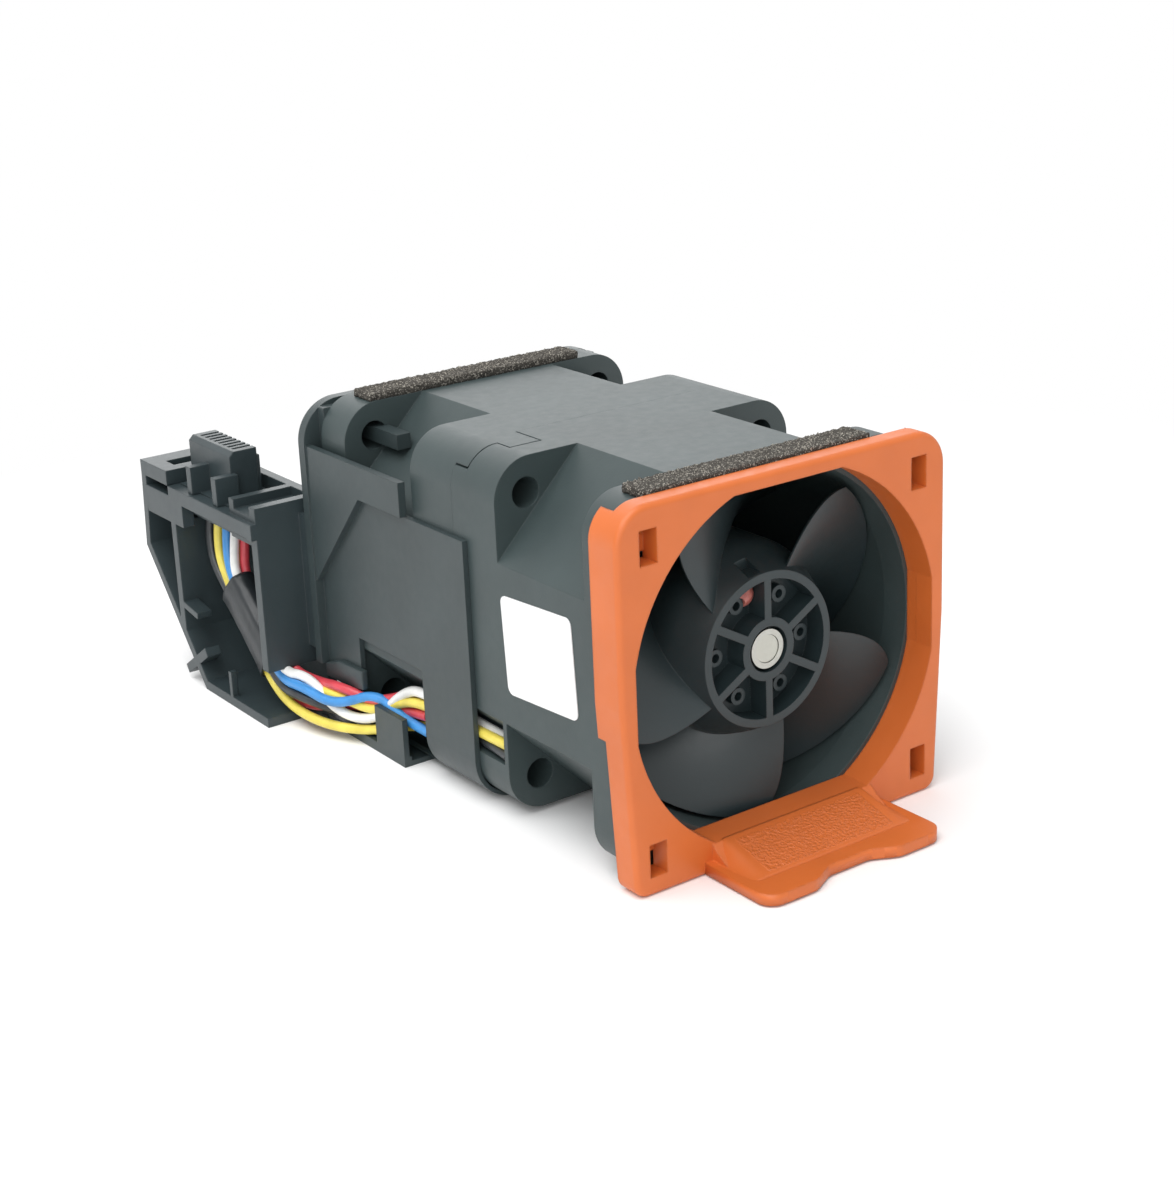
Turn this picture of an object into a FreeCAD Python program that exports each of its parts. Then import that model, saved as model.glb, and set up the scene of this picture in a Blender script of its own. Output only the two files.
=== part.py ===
"""A rack-server fan module: two counter-rotating fans, back to back, held by one carrier.

Lengths are millimetres. X runs across the module, Y from the pull tab to the connector,
and Z up. The origin lies on the underside, below the fan axis, at the bezel's front face.
"""

import FreeCAD, Part
import math
import os

import Sketcher
from FreeCAD import Placement, Rotation, Vector

doc = FreeCAD.newDocument("server_fan_module")

# Driving dimensions

SIZES = {
    "edge_reach": 1.75,
    "seat_gap": 0.05,
    "fan_side": 40.0,
    "fan_depth": 28.0,
    "corner_radius": 4.6,
    "hole_inset": 4.0,
    "hole_radius": 1.7,
    "duct_chamfer": 10.9,
    "duct_wall": 0.6,
    "inlet_flare": 0.4,
    "outer_flange": 4.2,
    "rear_flange": 5.4,
    "inner_flange": 8.3,
    "bezel_reach": 3.8,
    "bezel_plate": 2.4,
    "bezel_foot_reach": 0.65,
    "bezel_top_reach": 0.5,
    "bezel_skirt": 4.45,
    "bezel_top_skirt": 2.4,
    "bezel_low_skirt": 3.2,
    "opening_reach": 0.3,
    "opening_side_inset": 0.1,
    "opening_top_inset": 1.0,
    "opening_foot_inset": 2.6,
    "collar_wall": 0.7,
    "window_outset": 0.8,
    "window_width": 2.15,
    "window_top_inset": 1.6,
    "window_foot_inset": 1.0,
    "window_height": 3.6,
    "tab_half_width": 12.0,
    "tab_foot": 0.25,
    "tab_thickness": 1.2,
    "tab_reach": 10.1,
    "tab_dip": 1.6,
    "tab_corner": 1.9,
    "tab_ramp": 2.6,
    "grip_depth": 0.25,
    "hook_width": 1.3,
    "hook_height": 1.8,
    "hook_catch": 0.5,
    "hub_radius": 10.8,
    "hub_nose_radius": 8.5,
    "hub_nose_height": 4.6,
    "hub_depth": 19.6,
    "hub_wall": 0.9,
    "nose_wall": 0.9,
    "pocket_depth": 2.6,
    "boss_radius": 3.45,
    "boss_bore": 2.5,
    "spoke_width": 0.9,
    "tip_gap": 0.45,
    "blade_thickness": 0.9,
    "blade_start": 0.5,
    "blade_end": 17.6,
    "blade_wrap": 98.0,
    "blade_sweep": 1.2,
    "shaft_radius": 1.5,
    "bush_radius": 2.15,
    "yoke_wall": 0.6,
    "magnet_wall": 0.8,
    "bearing_radius": 4.0,
    "bearing_width": 3.0,
    "bearing_race": 0.7,
    "tube_wall": 0.8,
    "stator_height": 7.0,
    "air_gap": 0.3,
    "board_thickness": 0.8,
    "base_thickness": 1.6,
    "strut_width": 1.1,
    "strut_depth": 4.6,
    "foam_width": 3.9,
    "foam_height": 1.0,
    "foam_end_inset": 5.1,
    "foam_shift": -1.4,
    "label_length": 12.7,
    "label_height": 11.0,
    "label_thickness": 0.1,
    "carrier_wall": 0.65,
    "carrier_overlap": 2.6,
    "carrier_rise": 10.2,
    "plate_gap": 1.2,
    "plate_thickness": 1.4,
    "plate_top_inset": 0.5,
    "arm_thickness": 0.9,
    "arm_height": 4.0,
    "clip_length": 6.2,
    "clip_height": 5.9,
    "slot_end": 1.0,
    "slot_length": 14.0,
    "slot_drop": 7.6,
    "guard_reach": 7.9,
    "guard_width": 9.8,
    "guard_gap": 2.1,
    "guard_length": 30.6,
    "guard_rise": 7.05,
    "guard_wall": 1.2,
    "deck_length": 6.6,
    "seat_length": 15.4,
    "wire_mouth": 6.95,
    "plug_setback": 10.3,
    "plug_length": 11.0,
    "plug_width": 3.7,
    "plug_rise": 10.75,
    "contact_pitch": 1.2,
    "wire_diameter": 1.2,
    "sleeve_wall": 0.35,
}

# The counts of what repeats

FRONT_BLADES = 5
REAR_BLADES = 4
STRUTS = 5
SPOKES = 6
STATOR_TEETH = 4
CONTACTS = 8

sheet = doc.addObject("Spreadsheet::Sheet", "Sizes")
for row, (word, number) in enumerate(SIZES.items(), start=1):
    sheet.set("A%d" % row, word)
    sheet.set("B%d" % row, str(number))
    sheet.setAlias("B%d" % row, word)
doc.recompute()


class Length:
    """A number together with the sheet formula that it comes from."""

    def __init__(self, value, formula):
        self.value = float(value)
        self.formula = formula

    def joined(self, other, sign, value):
        other = as_length(other)
        return Length(value, "(%s %s %s)" % (self.formula, sign, other.formula))

    def __add__(self, other):
        return self.joined(other, "+", self.value + as_length(other).value)

    def __sub__(self, other):
        return self.joined(other, "-", self.value - as_length(other).value)

    def __mul__(self, other):
        return self.joined(other, "*", self.value * as_length(other).value)

    def __truediv__(self, other):
        return self.joined(other, "/", self.value / as_length(other).value)

    def __neg__(self):
        return Length(-self.value, "(0 - %s)" % self.formula)

    def __radd__(self, other):
        return as_length(other) + self

    def __rsub__(self, other):
        return as_length(other) - self

    def __rmul__(self, other):
        return as_length(other) * self


def as_length(number):
    """Wrap a plain number, and leave a Length alone."""
    if isinstance(number, Length):
        return number
    return Length(number, "(%r)" % float(number))


class Sheet:
    """Every driving dimension, read by its word."""

    def __getattr__(self, word):
        return Length(sheet.get(word), "Sizes." + word)


size = Sheet()


def bind(thing, place, length):
    """Tie one property of an object to its formula."""
    thing.setExpression(place, as_length(length).formula)


def in_order(first, second):
    """The same two places, the lower one first."""
    first = as_length(first)
    second = as_length(second)
    return (first, second) if first.value <= second.value else (second, first)


def put(thing, x=0.0, y=0.0, z=0.0):
    """Tie an object's position to formulas."""
    bind(thing, "Placement.Base.x", x)
    bind(thing, "Placement.Base.y", y)
    bind(thing, "Placement.Base.z", z)


# Solids of the Part kind


def box(name, x, y, z):
    """A block between two places on each axis."""
    block = doc.addObject("Part::Box", name)
    spans = [in_order(*pair) for pair in (x, y, z)]
    for side, (low, high) in zip(("Length", "Width", "Height"), spans):
        bind(block, side, high - low)
    put(block, spans[0][0], spans[1][0], spans[2][0])
    return block


def rod(name, radius, y, x=0.0, z=None):
    """A round bar along Y, on the fan axis unless it is given a place."""
    low, high = in_order(*y)
    bar = doc.addObject("Part::Cylinder", name)
    bar.Placement = Placement(Vector(), Rotation(Vector(1, 0, 0), -90))
    bind(bar, "Radius", radius)
    bind(bar, "Height", high - low)
    put(bar, x, low, axis if z is None else z)
    return bar


def cone(name, radius_low, radius_high, y):
    """A round taper along Y on the fan axis."""
    low, high = in_order(*y)
    taper = doc.addObject("Part::Cone", name)
    taper.Placement = Placement(Vector(), Rotation(Vector(1, 0, 0), -90))
    bind(taper, "Radius1", radius_low)
    bind(taper, "Radius2", radius_high)
    bind(taper, "Height", high - low)
    put(taper, 0.0, low, axis)
    return taper


def join(name, *pieces):
    """One solid made of several that meet."""
    whole = doc.addObject("Part::MultiFuse", name)
    whole.Shapes = list(pieces)
    return whole


def overlap(name, *pieces):
    """What several solids have in common."""
    shared = doc.addObject("Part::MultiCommon", name)
    shared.Shapes = list(pieces)
    return shared


def cut(name, base, *tools):
    """A solid less one or more others."""
    rest = doc.addObject("Part::Cut", name)
    rest.Base = base
    rest.Tool = tools[0] if len(tools) == 1 else join(name + "_cutters", *tools)
    return rest


def group(name, *pieces):
    """Separate solids kept as one piece of the list."""
    together = doc.addObject("Part::Compound", name)
    together.Links = list(pieces)
    return together


def tube(name, outer, inner, y, x=0.0, z=None):
    """A round pipe along Y."""
    return cut(name, rod(name + "_outside", outer, y, x, z), rod(name + "_inside", inner, y, x, z))


def rounded(name, base, radius, chosen):
    """A copy of a solid with the edges that the test picks rounded."""
    doc.recompute()
    smooth = doc.addObject("Part::Fillet", name)
    smooth.Base = base
    radius = as_length(radius).value
    edges = enumerate(base.Shape.Edges, start=1)
    smooth.Edges = [(number, radius, radius) for number, edge in edges if chosen(edge)]
    return smooth


def runs_along(edge, axis):
    """Whether an edge is straight and parallel to an axis."""
    if not isinstance(edge.Curve, Part.Line):
        return False
    return abs(edge.tangentAt(edge.FirstParameter).dot(axis)) > 0.999


ALONG_X = Vector(1, 0, 0)
ALONG_Y = Vector(0, 1, 0)
ALONG_Z = Vector(0, 0, 1)

# Solids of the PartDesign kind


def new_body(name):
    """An empty body with its own origin."""
    return doc.addObject("PartDesign::Body", name)


def sketch_on(body, name, plane, offset, outline=(), circles=()):
    """A sketch on one of the body's own planes, its points tied to formulas.

    On XZ_Plane the offset is a place on Y, on YZ_Plane on X and on XY_Plane on Z.
    """
    sketch = body.newObject("Sketcher::SketchObject", name)
    support = [item for item in body.Origin.OriginFeatures if item.Role == plane][0]
    sketch.AttachmentSupport = [(support, "")]
    sketch.MapMode = "FlatFace"
    along_normal = -as_length(offset) if plane == "XZ_Plane" else offset
    bind(sketch, "AttachmentOffset.Base.z", along_normal)
    corners = [(as_length(across), as_length(up)) for across, up in outline]
    for number, (across, up) in enumerate(corners):
        following = corners[(number + 1) % len(corners)]
        start = Vector(across.value, up.value, 0)
        end = Vector(following[0].value, following[1].value, 0)
        sketch.addGeometry(Part.LineSegment(start, end))
    for number in range(len(corners)):
        following = (number + 1) % len(corners)
        sketch.addConstraint(Sketcher.Constraint("Coincident", number, 2, following, 1))
    for number, (across, up) in enumerate(corners):
        for kind, length in (("DistanceX", across), ("DistanceY", up)):
            rule = Sketcher.Constraint(kind, -1, 1, number, 1, length.value)
            index = sketch.addConstraint(rule)
            bind(sketch, "Constraints[%d]" % index, length)
    for across, up, radius in circles:
        across, up, radius = as_length(across), as_length(up), as_length(radius)
        centre = Vector(across.value, up.value, 0)
        number = sketch.addGeometry(Part.Circle(centre, Vector(0, 0, 1), radius.value))
        for kind, length in (("DistanceX", across), ("DistanceY", up)):
            rule = Sketcher.Constraint(kind, -1, 1, number, 3, length.value)
            index = sketch.addConstraint(rule)
            bind(sketch, "Constraints[%d]" % index, length)
        index = sketch.addConstraint(Sketcher.Constraint("Radius", number, radius.value))
        bind(sketch, "Constraints[%d]" % index, radius)
    return sketch


def feature(body, kind, name, sketch, length, backwards=False):
    """A Pad or a Pocket of a sketch."""
    made = body.newObject("PartDesign::" + kind, name)
    made.Profile = sketch
    made.Reversed = backwards
    bind(made, "Length", length)
    body.Tip = made
    return made


def pad_along_y(body, name, outline, y, circles=()):
    """Material from one place on Y to a further one."""
    sketch = sketch_on(body, name + "_outline", "XZ_Plane", y[0], outline, circles)
    return feature(body, "Pad", name, sketch, as_length(y[1]) - y[0], True)


def pocket_along_y(body, name, outline, y, circles=()):
    """A hollow from one place on Y to a further one."""
    sketch = sketch_on(body, name + "_outline", "XZ_Plane", y[0], outline, circles)
    return feature(body, "Pocket", name, sketch, as_length(y[1]) - y[0])


def pad_along_x(body, name, outline, x):
    """Material from one place on X to a further one."""
    sketch = sketch_on(body, name + "_outline", "YZ_Plane", x[0], outline)
    return feature(body, "Pad", name, sketch, as_length(x[1]) - x[0])


def pad_along_z(body, name, outline, z):
    """Material from one place on Z to a higher one."""
    sketch = sketch_on(body, name + "_outline", "XY_Plane", z[0], outline)
    return feature(body, "Pad", name, sketch, as_length(z[1]) - z[0])


def pocket_down(body, name, outline, z):
    """A hollow from one place on Z down to a lower one."""
    sketch = sketch_on(body, name + "_outline", "XY_Plane", z[0], outline)
    return feature(body, "Pocket", name, sketch, as_length(z[0]) - z[1])


def round_body(body, name, radius, chosen):
    """Round the edges of the body's last feature that the test picks."""
    doc.recompute()
    base = body.Tip
    edges = enumerate(base.Shape.Edges, start=1)
    picked = ["Edge%d" % number for number, edge in edges if chosen(edge)]
    smooth = body.newObject("PartDesign::Fillet", name)
    smooth.Base = (base, picked)
    bind(smooth, "Radius", radius)
    body.Tip = smooth
    return smooth


def rectangle(across, up):
    """The corners of an upright rectangle."""
    left, right = in_order(*across)
    low, high = in_order(*up)
    return [(left, low), (right, low), (right, high), (left, high)]


NODES = []


def keep(node, label):
    """Name a finished sub-part."""
    node.Label = label
    NODES.append((label, node))
    return node


# Places that several pieces share

half = size.fan_side / 2
axis = half + size.carrier_wall
hole_offset = half - size.hole_inset
bore_radius = half - size.duct_wall
blade_tip = bore_radius - size.tip_gap
module_side = half + size.edge_reach
opening_radius = half + size.opening_reach
opening_side = half - size.opening_side_inset
opening_top = axis + half - size.opening_top_inset
opening_foot = axis - half + size.opening_foot_inset
plate_top = axis + half - size.plate_top_inset
fan_front = size.bezel_reach
fan_middle = fan_front + size.fan_depth
fan_rear = fan_middle + size.fan_depth
rear_flange_front = fan_rear - size.rear_flange
fan_top = axis + half
fan_foot = axis - half
carrier_side = half + size.carrier_wall
plate_front = fan_rear + size.plate_gap
plate_rear = plate_front + size.plate_thickness
slot_rear = rear_flange_front - size.slot_end
slot_front = slot_rear - size.slot_length
carrier_front = fan_middle - size.carrier_overlap
clip_front = slot_front + 4.0
clip_rear = clip_front + size.clip_length
guard_front = plate_rear + size.guard_gap
plug_front = guard_front + size.plug_setback
BEYOND = 1.0


def depth_place(side, depth):
    """A place on Y, counted inwards from the outer face of the front or the rear fan."""
    return fan_front + depth if side == "front" else fan_rear - depth


def depth_span(side, first, second):
    """Two places on Y between two depths of a fan."""
    return in_order(depth_place(side, first), depth_place(side, second))


def spun(name, piece, angle):
    """A piece built about the origin, turned about Y and lifted to the fan axis."""
    turned = doc.addObject("Part::Compound", name)
    turned.Links = [piece]
    turned.Placement = Placement(Vector(), Rotation(Vector(0, 1, 0), angle))
    put(turned, 0.0, 0.0, axis)
    return turned


def radial_box(name, radii, y, width, angle):
    """A block that stands out from the fan axis at an angle."""
    block = box(name, radii, y, (-as_length(width) / 2, as_length(width) / 2))
    return spun(name + "_turned", block, angle)


# The two fan frames: square flanges on an eight-sided duct, with the motor base inside


def octagon(name, y):
    """The duct's outside: a square with its corners cut off."""
    square = box(name + "_square", (-half, half), y, (fan_foot, fan_top))
    across = (size.fan_side - size.duct_chamfer) / math.sqrt(2.0)
    diamond = box(name + "_upright", (-across, across), y, (-across, across))
    return overlap(name, square, spun(name + "_diamond", diamond, 45.0))


def flange(name, y):
    """A square plate with round corners."""
    plate = box(name + "_square", (-half, half), y, (fan_foot, fan_top))
    return rounded(name, plate, size.corner_radius, lambda edge: runs_along(edge, ALONG_Y))


base_radius = size.hub_radius - 0.2
rotor_end = size.hub_depth - 0.2
base_start = rotor_end + 0.9
cup_wall = 0.9
board_start = base_start + 0.4
board_end = board_start + size.board_thickness
base_floor = size.fan_depth - size.base_thickness
tube_radius = size.bearing_radius + size.seat_gap + size.tube_wall
CHANNEL_INNER = 2.55
CHANNEL_STOP = 7.6
channel_foot = fan_foot + 5.85
channel_top = channel_foot + 6.15
TONGUE_GAP = 0.2


def tongue_room(side):
    """The stepped corner that the rear frame reaches forward with, wider by a gap in the front one."""
    gap = TONGUE_GAP if side == "front" else 0.0
    height = (fan_top - 1.9 - gap, fan_top + BEYOND)
    corner = box(
        side + "_tongue_corner",
        (-half - BEYOND, -half + 5.0),
        (fan_middle - 2.2 - gap, fan_middle),
        height,
    )
    step = box(
        side + "_tongue_step",
        (-half + 4.8 - gap, -half + 8.6 + gap),
        (fan_middle - 4.6 - gap, fan_middle),
        height,
    )
    return join(side + "_tongue_room", corner, step)


def fan_frame(side):
    """One moulded frame, its outer flange at depth 0 and its inner one at the join."""
    whole = depth_span(side, 0.0, size.fan_depth)
    inner_start = size.fan_depth - size.inner_flange
    duct = octagon(side + "_duct", whole)
    outer_depth = size.outer_flange if side == "front" else size.rear_flange
    outer = flange(side + "_outer_flange", depth_span(side, 0.0, outer_depth))
    inner = flange(side + "_inner_flange", depth_span(side, inner_start, size.fan_depth))
    past = depth_span(side, -BEYOND, size.fan_depth + BEYOND)
    bore = rod(side + "_bore", bore_radius, past)
    flare_out = bore_radius + size.inlet_flare
    radii = (flare_out, bore_radius) if side == "front" else (bore_radius, flare_out)
    flare = cone(side + "_flare", radii[0], radii[1], depth_span(side, 0.0, 3.0))
    holes = []
    for number, (across, up) in enumerate(((1, 1), (-1, 1), (-1, -1), (1, -1))):
        place = (hole_offset * across, axis + hole_offset * up)
        name = "%s_hole_%d" % (side, number)
        holes.append(rod(name, size.hole_radius, past, place[0], place[1]))
    channel_length = CHANNEL_STOP if side == "front" else size.inner_flange
    channel_box = box(
        side + "_channel_box",
        (-half - BEYOND, -half + CHANNEL_INNER),
        depth_span(side, size.fan_depth - channel_length, size.fan_depth),
        (channel_foot, channel_top),
    )
    channel = cut(side + "_wire_channel", channel_box, duct)
    blocks = [duct, outer, inner]
    cutters = [bore, flare, channel, *holes]
    tongue = tongue_room(side)
    if side == "front":
        cutters.append(tongue)
    else:
        longer = flange("tongue_flange", (fan_middle - 5.0, fan_middle + BEYOND))
        blocks.append(overlap("tongue", tongue, longer))
    shell = join(side + "_frame_block", *blocks)
    shell = cut(side + "_frame_shell", shell, *cutters)
    rim = tube(
        side + "_base_rim",
        base_radius,
        base_radius - cup_wall,
        depth_span(side, base_start, size.fan_depth),
    )
    floor = tube(
        side + "_base_floor",
        base_radius,
        tube_radius + size.seat_gap,
        depth_span(side, base_floor, size.fan_depth),
    )
    struts = []
    for number in range(STRUTS):
        struts.append(
            radial_box(
                "%s_strut_%d" % (side, number),
                (base_radius - cup_wall / 2, bore_radius + 0.2),
                depth_span(side, size.fan_depth - size.strut_depth - 0.4, size.fan_depth - 0.4),
                size.strut_width,
                -135.0 + number * 360.0 / STRUTS,
            )
        )
    return join(side + "_frame", shell, rim, floor, *struts)


# The rotors: a moulded hub with broad blades over a steel yoke and a magnet ring


nose_start = -0.2
shoulder = size.hub_nose_height + nose_start
pocket_floor = size.pocket_depth + nose_start
hub_roof = pocket_floor + size.hub_wall + 0.2
hub_inside = size.hub_radius - size.hub_wall
recess_floor = pocket_floor - 1.0
yoke_outside = hub_inside - size.seat_gap
yoke_inside = yoke_outside - size.yoke_wall
yoke_start = hub_roof + size.seat_gap
magnet_outside = yoke_inside - size.seat_gap
magnet_inside = magnet_outside - size.magnet_wall
stator_radius = magnet_inside - size.air_gap
stator_start = 9.5
stator_end = stator_start + size.stator_height
insulator_wall = 0.5
FRONT_TURN = -21.0
REAR_TURN = 0.0
BLADE_RINGS = 5
BLADE_STEPS = 7
PIN_RADIUS = 0.95
NOTCH_WIDTH = 1.6
NOTCH_DEPTH = 2.2
NOTCH_ANGLE = -100.0
pin_place = (size.boss_radius + size.hub_nose_radius) / 2 - 0.2
RUNNING_GAP = 0.03


def revolved(name, outline):
    """A ring from its half section, radius by place on Y, about the fan axis."""
    body = new_body(name)
    sketch = sketch_on(body, name + "_section", "XY_Plane", 0.0, outline)
    turn = body.newObject("PartDesign::Revolution", name + "_turn")
    turn.Profile = sketch
    turn.ReferenceAxis = (sketch, ["V_Axis"])
    turn.Angle = 360.0
    body.Tip = turn
    bind(body, "Placement.Base.z", axis)
    return body


def hub(side):
    """The hub's shell: an open nose with a boss, a flared shoulder and a deep skirt."""
    section = (
        (size.boss_bore, nose_start),
        (size.boss_radius, nose_start),
        (size.boss_radius, pocket_floor),
        (size.hub_nose_radius - size.nose_wall, pocket_floor),
        (size.hub_nose_radius - size.nose_wall, nose_start),
        (size.hub_nose_radius, nose_start),
        (size.hub_radius, shoulder),
        (size.hub_radius, rotor_end),
        (hub_inside, rotor_end),
        (hub_inside, hub_roof),
        (size.shaft_radius + size.seat_gap, hub_roof),
        (size.shaft_radius + size.seat_gap, recess_floor),
        (size.boss_bore, recess_floor),
    )
    outline = [(radius, depth_place(side, depth)) for radius, depth in section]
    body = revolved(side + "_hub", outline)
    edge_place = depth_place(side, shoulder).value
    widest = size.hub_radius.value

    def on_shoulder(edge):
        if not isinstance(edge.Curve, Part.Circle):
            return False
        at_shoulder = abs(edge.Curve.Center.y - edge_place) < 1e-4
        return at_shoulder and abs(edge.Curve.Radius - widest) < 1e-4

    round_body(body, side + "_shoulder_round", 5.0, on_shoulder)
    return body


def blade(side, way):
    """One blade between two curved faces, from inside the nose wall to the tip circle."""
    ends = [depth_place(side, depth).value for depth in (size.blade_start, size.blade_end)]
    start, end = min(ends), max(ends)
    root = (size.hub_nose_radius - size.nose_wall / 2).value
    tip = blade_tip.value
    wrap = math.radians(size.blade_wrap.value)
    sweep = math.radians(size.blade_sweep.value)

    def face_point(outward, along, lift):
        """A point at a part of the way outward and a part of the way along the blade."""
        part_way = along + (1.0 - along) * 0.05 * outward ** 6
        radius = root + (tip - root) * outward
        angle = way * (wrap * (part_way - 0.5) + sweep * (radius - root))
        depth = start + (end - start) * (0.25 * part_way + 0.75 * part_way ** 1.7)
        wall = size.blade_thickness.value * (0.3 + 0.7 * math.sin(math.pi * along))
        return Vector(radius * math.cos(angle), depth + lift * wall, radius * math.sin(angle))

    outwards = [ring / (BLADE_RINGS - 1) for ring in range(BLADE_RINGS)]
    alongs = [step / (BLADE_STEPS - 1) for step in range(BLADE_STEPS)]
    faces = []
    rims = []
    for lift in (0.5, -0.5):
        surface = Part.BSplineSurface()
        surface.interpolate([[face_point(out, along, lift) for along in alongs] for out in outwards])
        u_first, u_last, v_first, v_last = surface.bounds()
        curves = [surface.uIso(place) for place in (u_first, u_last)]
        curves.extend(surface.vIso(place) for place in (v_first, v_last))
        rims.append([curve.toShape() for curve in curves])
        faces.append(surface.toShape())
    faces.extend(Part.makeRuledSurface(near, far) for near, far in zip(*rims))
    shell = Part.makeShell(faces)
    shell.sewShape()
    solid = Part.makeSolid(shell)
    if solid.Volume < 0:
        solid.reverse()
    return solid


def blades(side, count, way):
    """All the blades of a rotor, hollow where the hub is."""
    core_low, core_high = depth_span(side, hub_roof - 0.1, rotor_end + BEYOND)
    foot = Vector(0, core_low.value, 0)
    length = (core_high - core_low).value
    core = Part.makeCylinder(hub_inside.value + 0.2, length, foot, Vector(0, 1, 0))
    first = blade(side, way).cut(core)
    copies = []
    for number in range(count):
        copy = first.copy()
        copy.rotate(Vector(0, 0, 0), Vector(0, 1, 0), number * 360.0 / count)
        copies.append(copy)
    made = doc.addObject("Part::Feature", side + "_blades")
    made.Shape = Part.makeCompound(copies)
    put(made, 0.0, 0.0, axis)
    return made


def impeller(side, count, way, first_angle):
    """Hub, nose spokes and blades as one moulding."""
    spokes = []
    for number in range(SPOKES):
        spokes.append(
            radial_box(
                "%s_spoke_%d" % (side, number),
                (size.boss_radius - 0.3, size.hub_nose_radius - size.nose_wall / 2),
                depth_span(side, nose_start, pocket_floor + 0.3),
                size.spoke_width,
                30.0 + number * 360.0 / SPOKES,
            )
        )
    pins = []
    for number in range(SPOKES):
        turn = math.radians((number + 0.5) * 360.0 / SPOKES)
        pins.append(
            tube(
                "%s_pin_%d" % (side, number),
                PIN_RADIUS,
                PIN_RADIUS / 2,
                depth_span(side, pocket_floor - PIN_RADIUS, pocket_floor + 0.2),
                pin_place * math.sin(turn),
                axis + pin_place * math.cos(turn),
            )
        )
    wings = blades(side, count, way)
    turned = Rotation(Vector(0, 1, 0), first_angle)
    wings.Placement = Placement(wings.Placement.Base, turned)
    notch = radial_box(
        side + "_hub_notch",
        (size.hub_nose_radius + 0.1, size.hub_radius),
        depth_span(side, nose_start, NOTCH_DEPTH),
        NOTCH_WIDTH,
        NOTCH_ANGLE,
    )
    spoked = join(side + "_spoked_hub", hub(side), *spokes, *pins)
    whole = join(side + "_impeller_whole", cut(side + "_notched_hub", spoked, notch), wings)
    whole.Refine = False
    return whole


def rotor_pieces(side):
    """What turns with the impeller."""
    end = rotor_end - 0.4
    cap_end = yoke_start + size.yoke_wall
    yoke = revolved(
        side + "_yoke",
        [
            (radius, depth_place(side, depth))
            for radius, depth in (
                (size.shaft_radius * 2, yoke_start),
                (yoke_outside, yoke_start),
                (yoke_outside, end),
                (yoke_inside, end),
                (yoke_inside, cap_end),
                (size.shaft_radius * 2, cap_end),
            )
        ],
    )
    keep(yoke, side + "_rotor_yoke")
    magnet_span = depth_span(side, stator_start - 1.5, end - 0.3)
    keep(tube(side + "_magnet", magnet_outside, magnet_inside, magnet_span), side + "_magnet_ring")
    shaft_span = depth_span(side, 0.1, bearing_starts[1] + size.bearing_width + 1.6)
    keep(rod(side + "_spindle", size.shaft_radius, shaft_span), side + "_shaft")
    bush_span = depth_span(side, 0.0, recess_floor)
    bush = tube(side + "_collar", size.bush_radius, size.shaft_radius + size.seat_gap, bush_span)
    keep(bush, side + "_shaft_bush")
    clip_start = bearing_starts[1] + size.bearing_width + 0.3
    clip_span = depth_span(side, clip_start, clip_start + 0.4)
    ring = tube(side + "_ring", size.shaft_radius + 1.2, size.shaft_radius + size.seat_gap, clip_span)
    gap = radial_box(side + "_ring_gap", (0.0, 4.0), clip_span, 1.6, 90.0)
    keep(cut(side + "_split_ring", ring, gap), side + "_retaining_clip")


# The parts of each motor that stand still

bearing_starts = (as_length(6.0), as_length(19.4))


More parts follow.
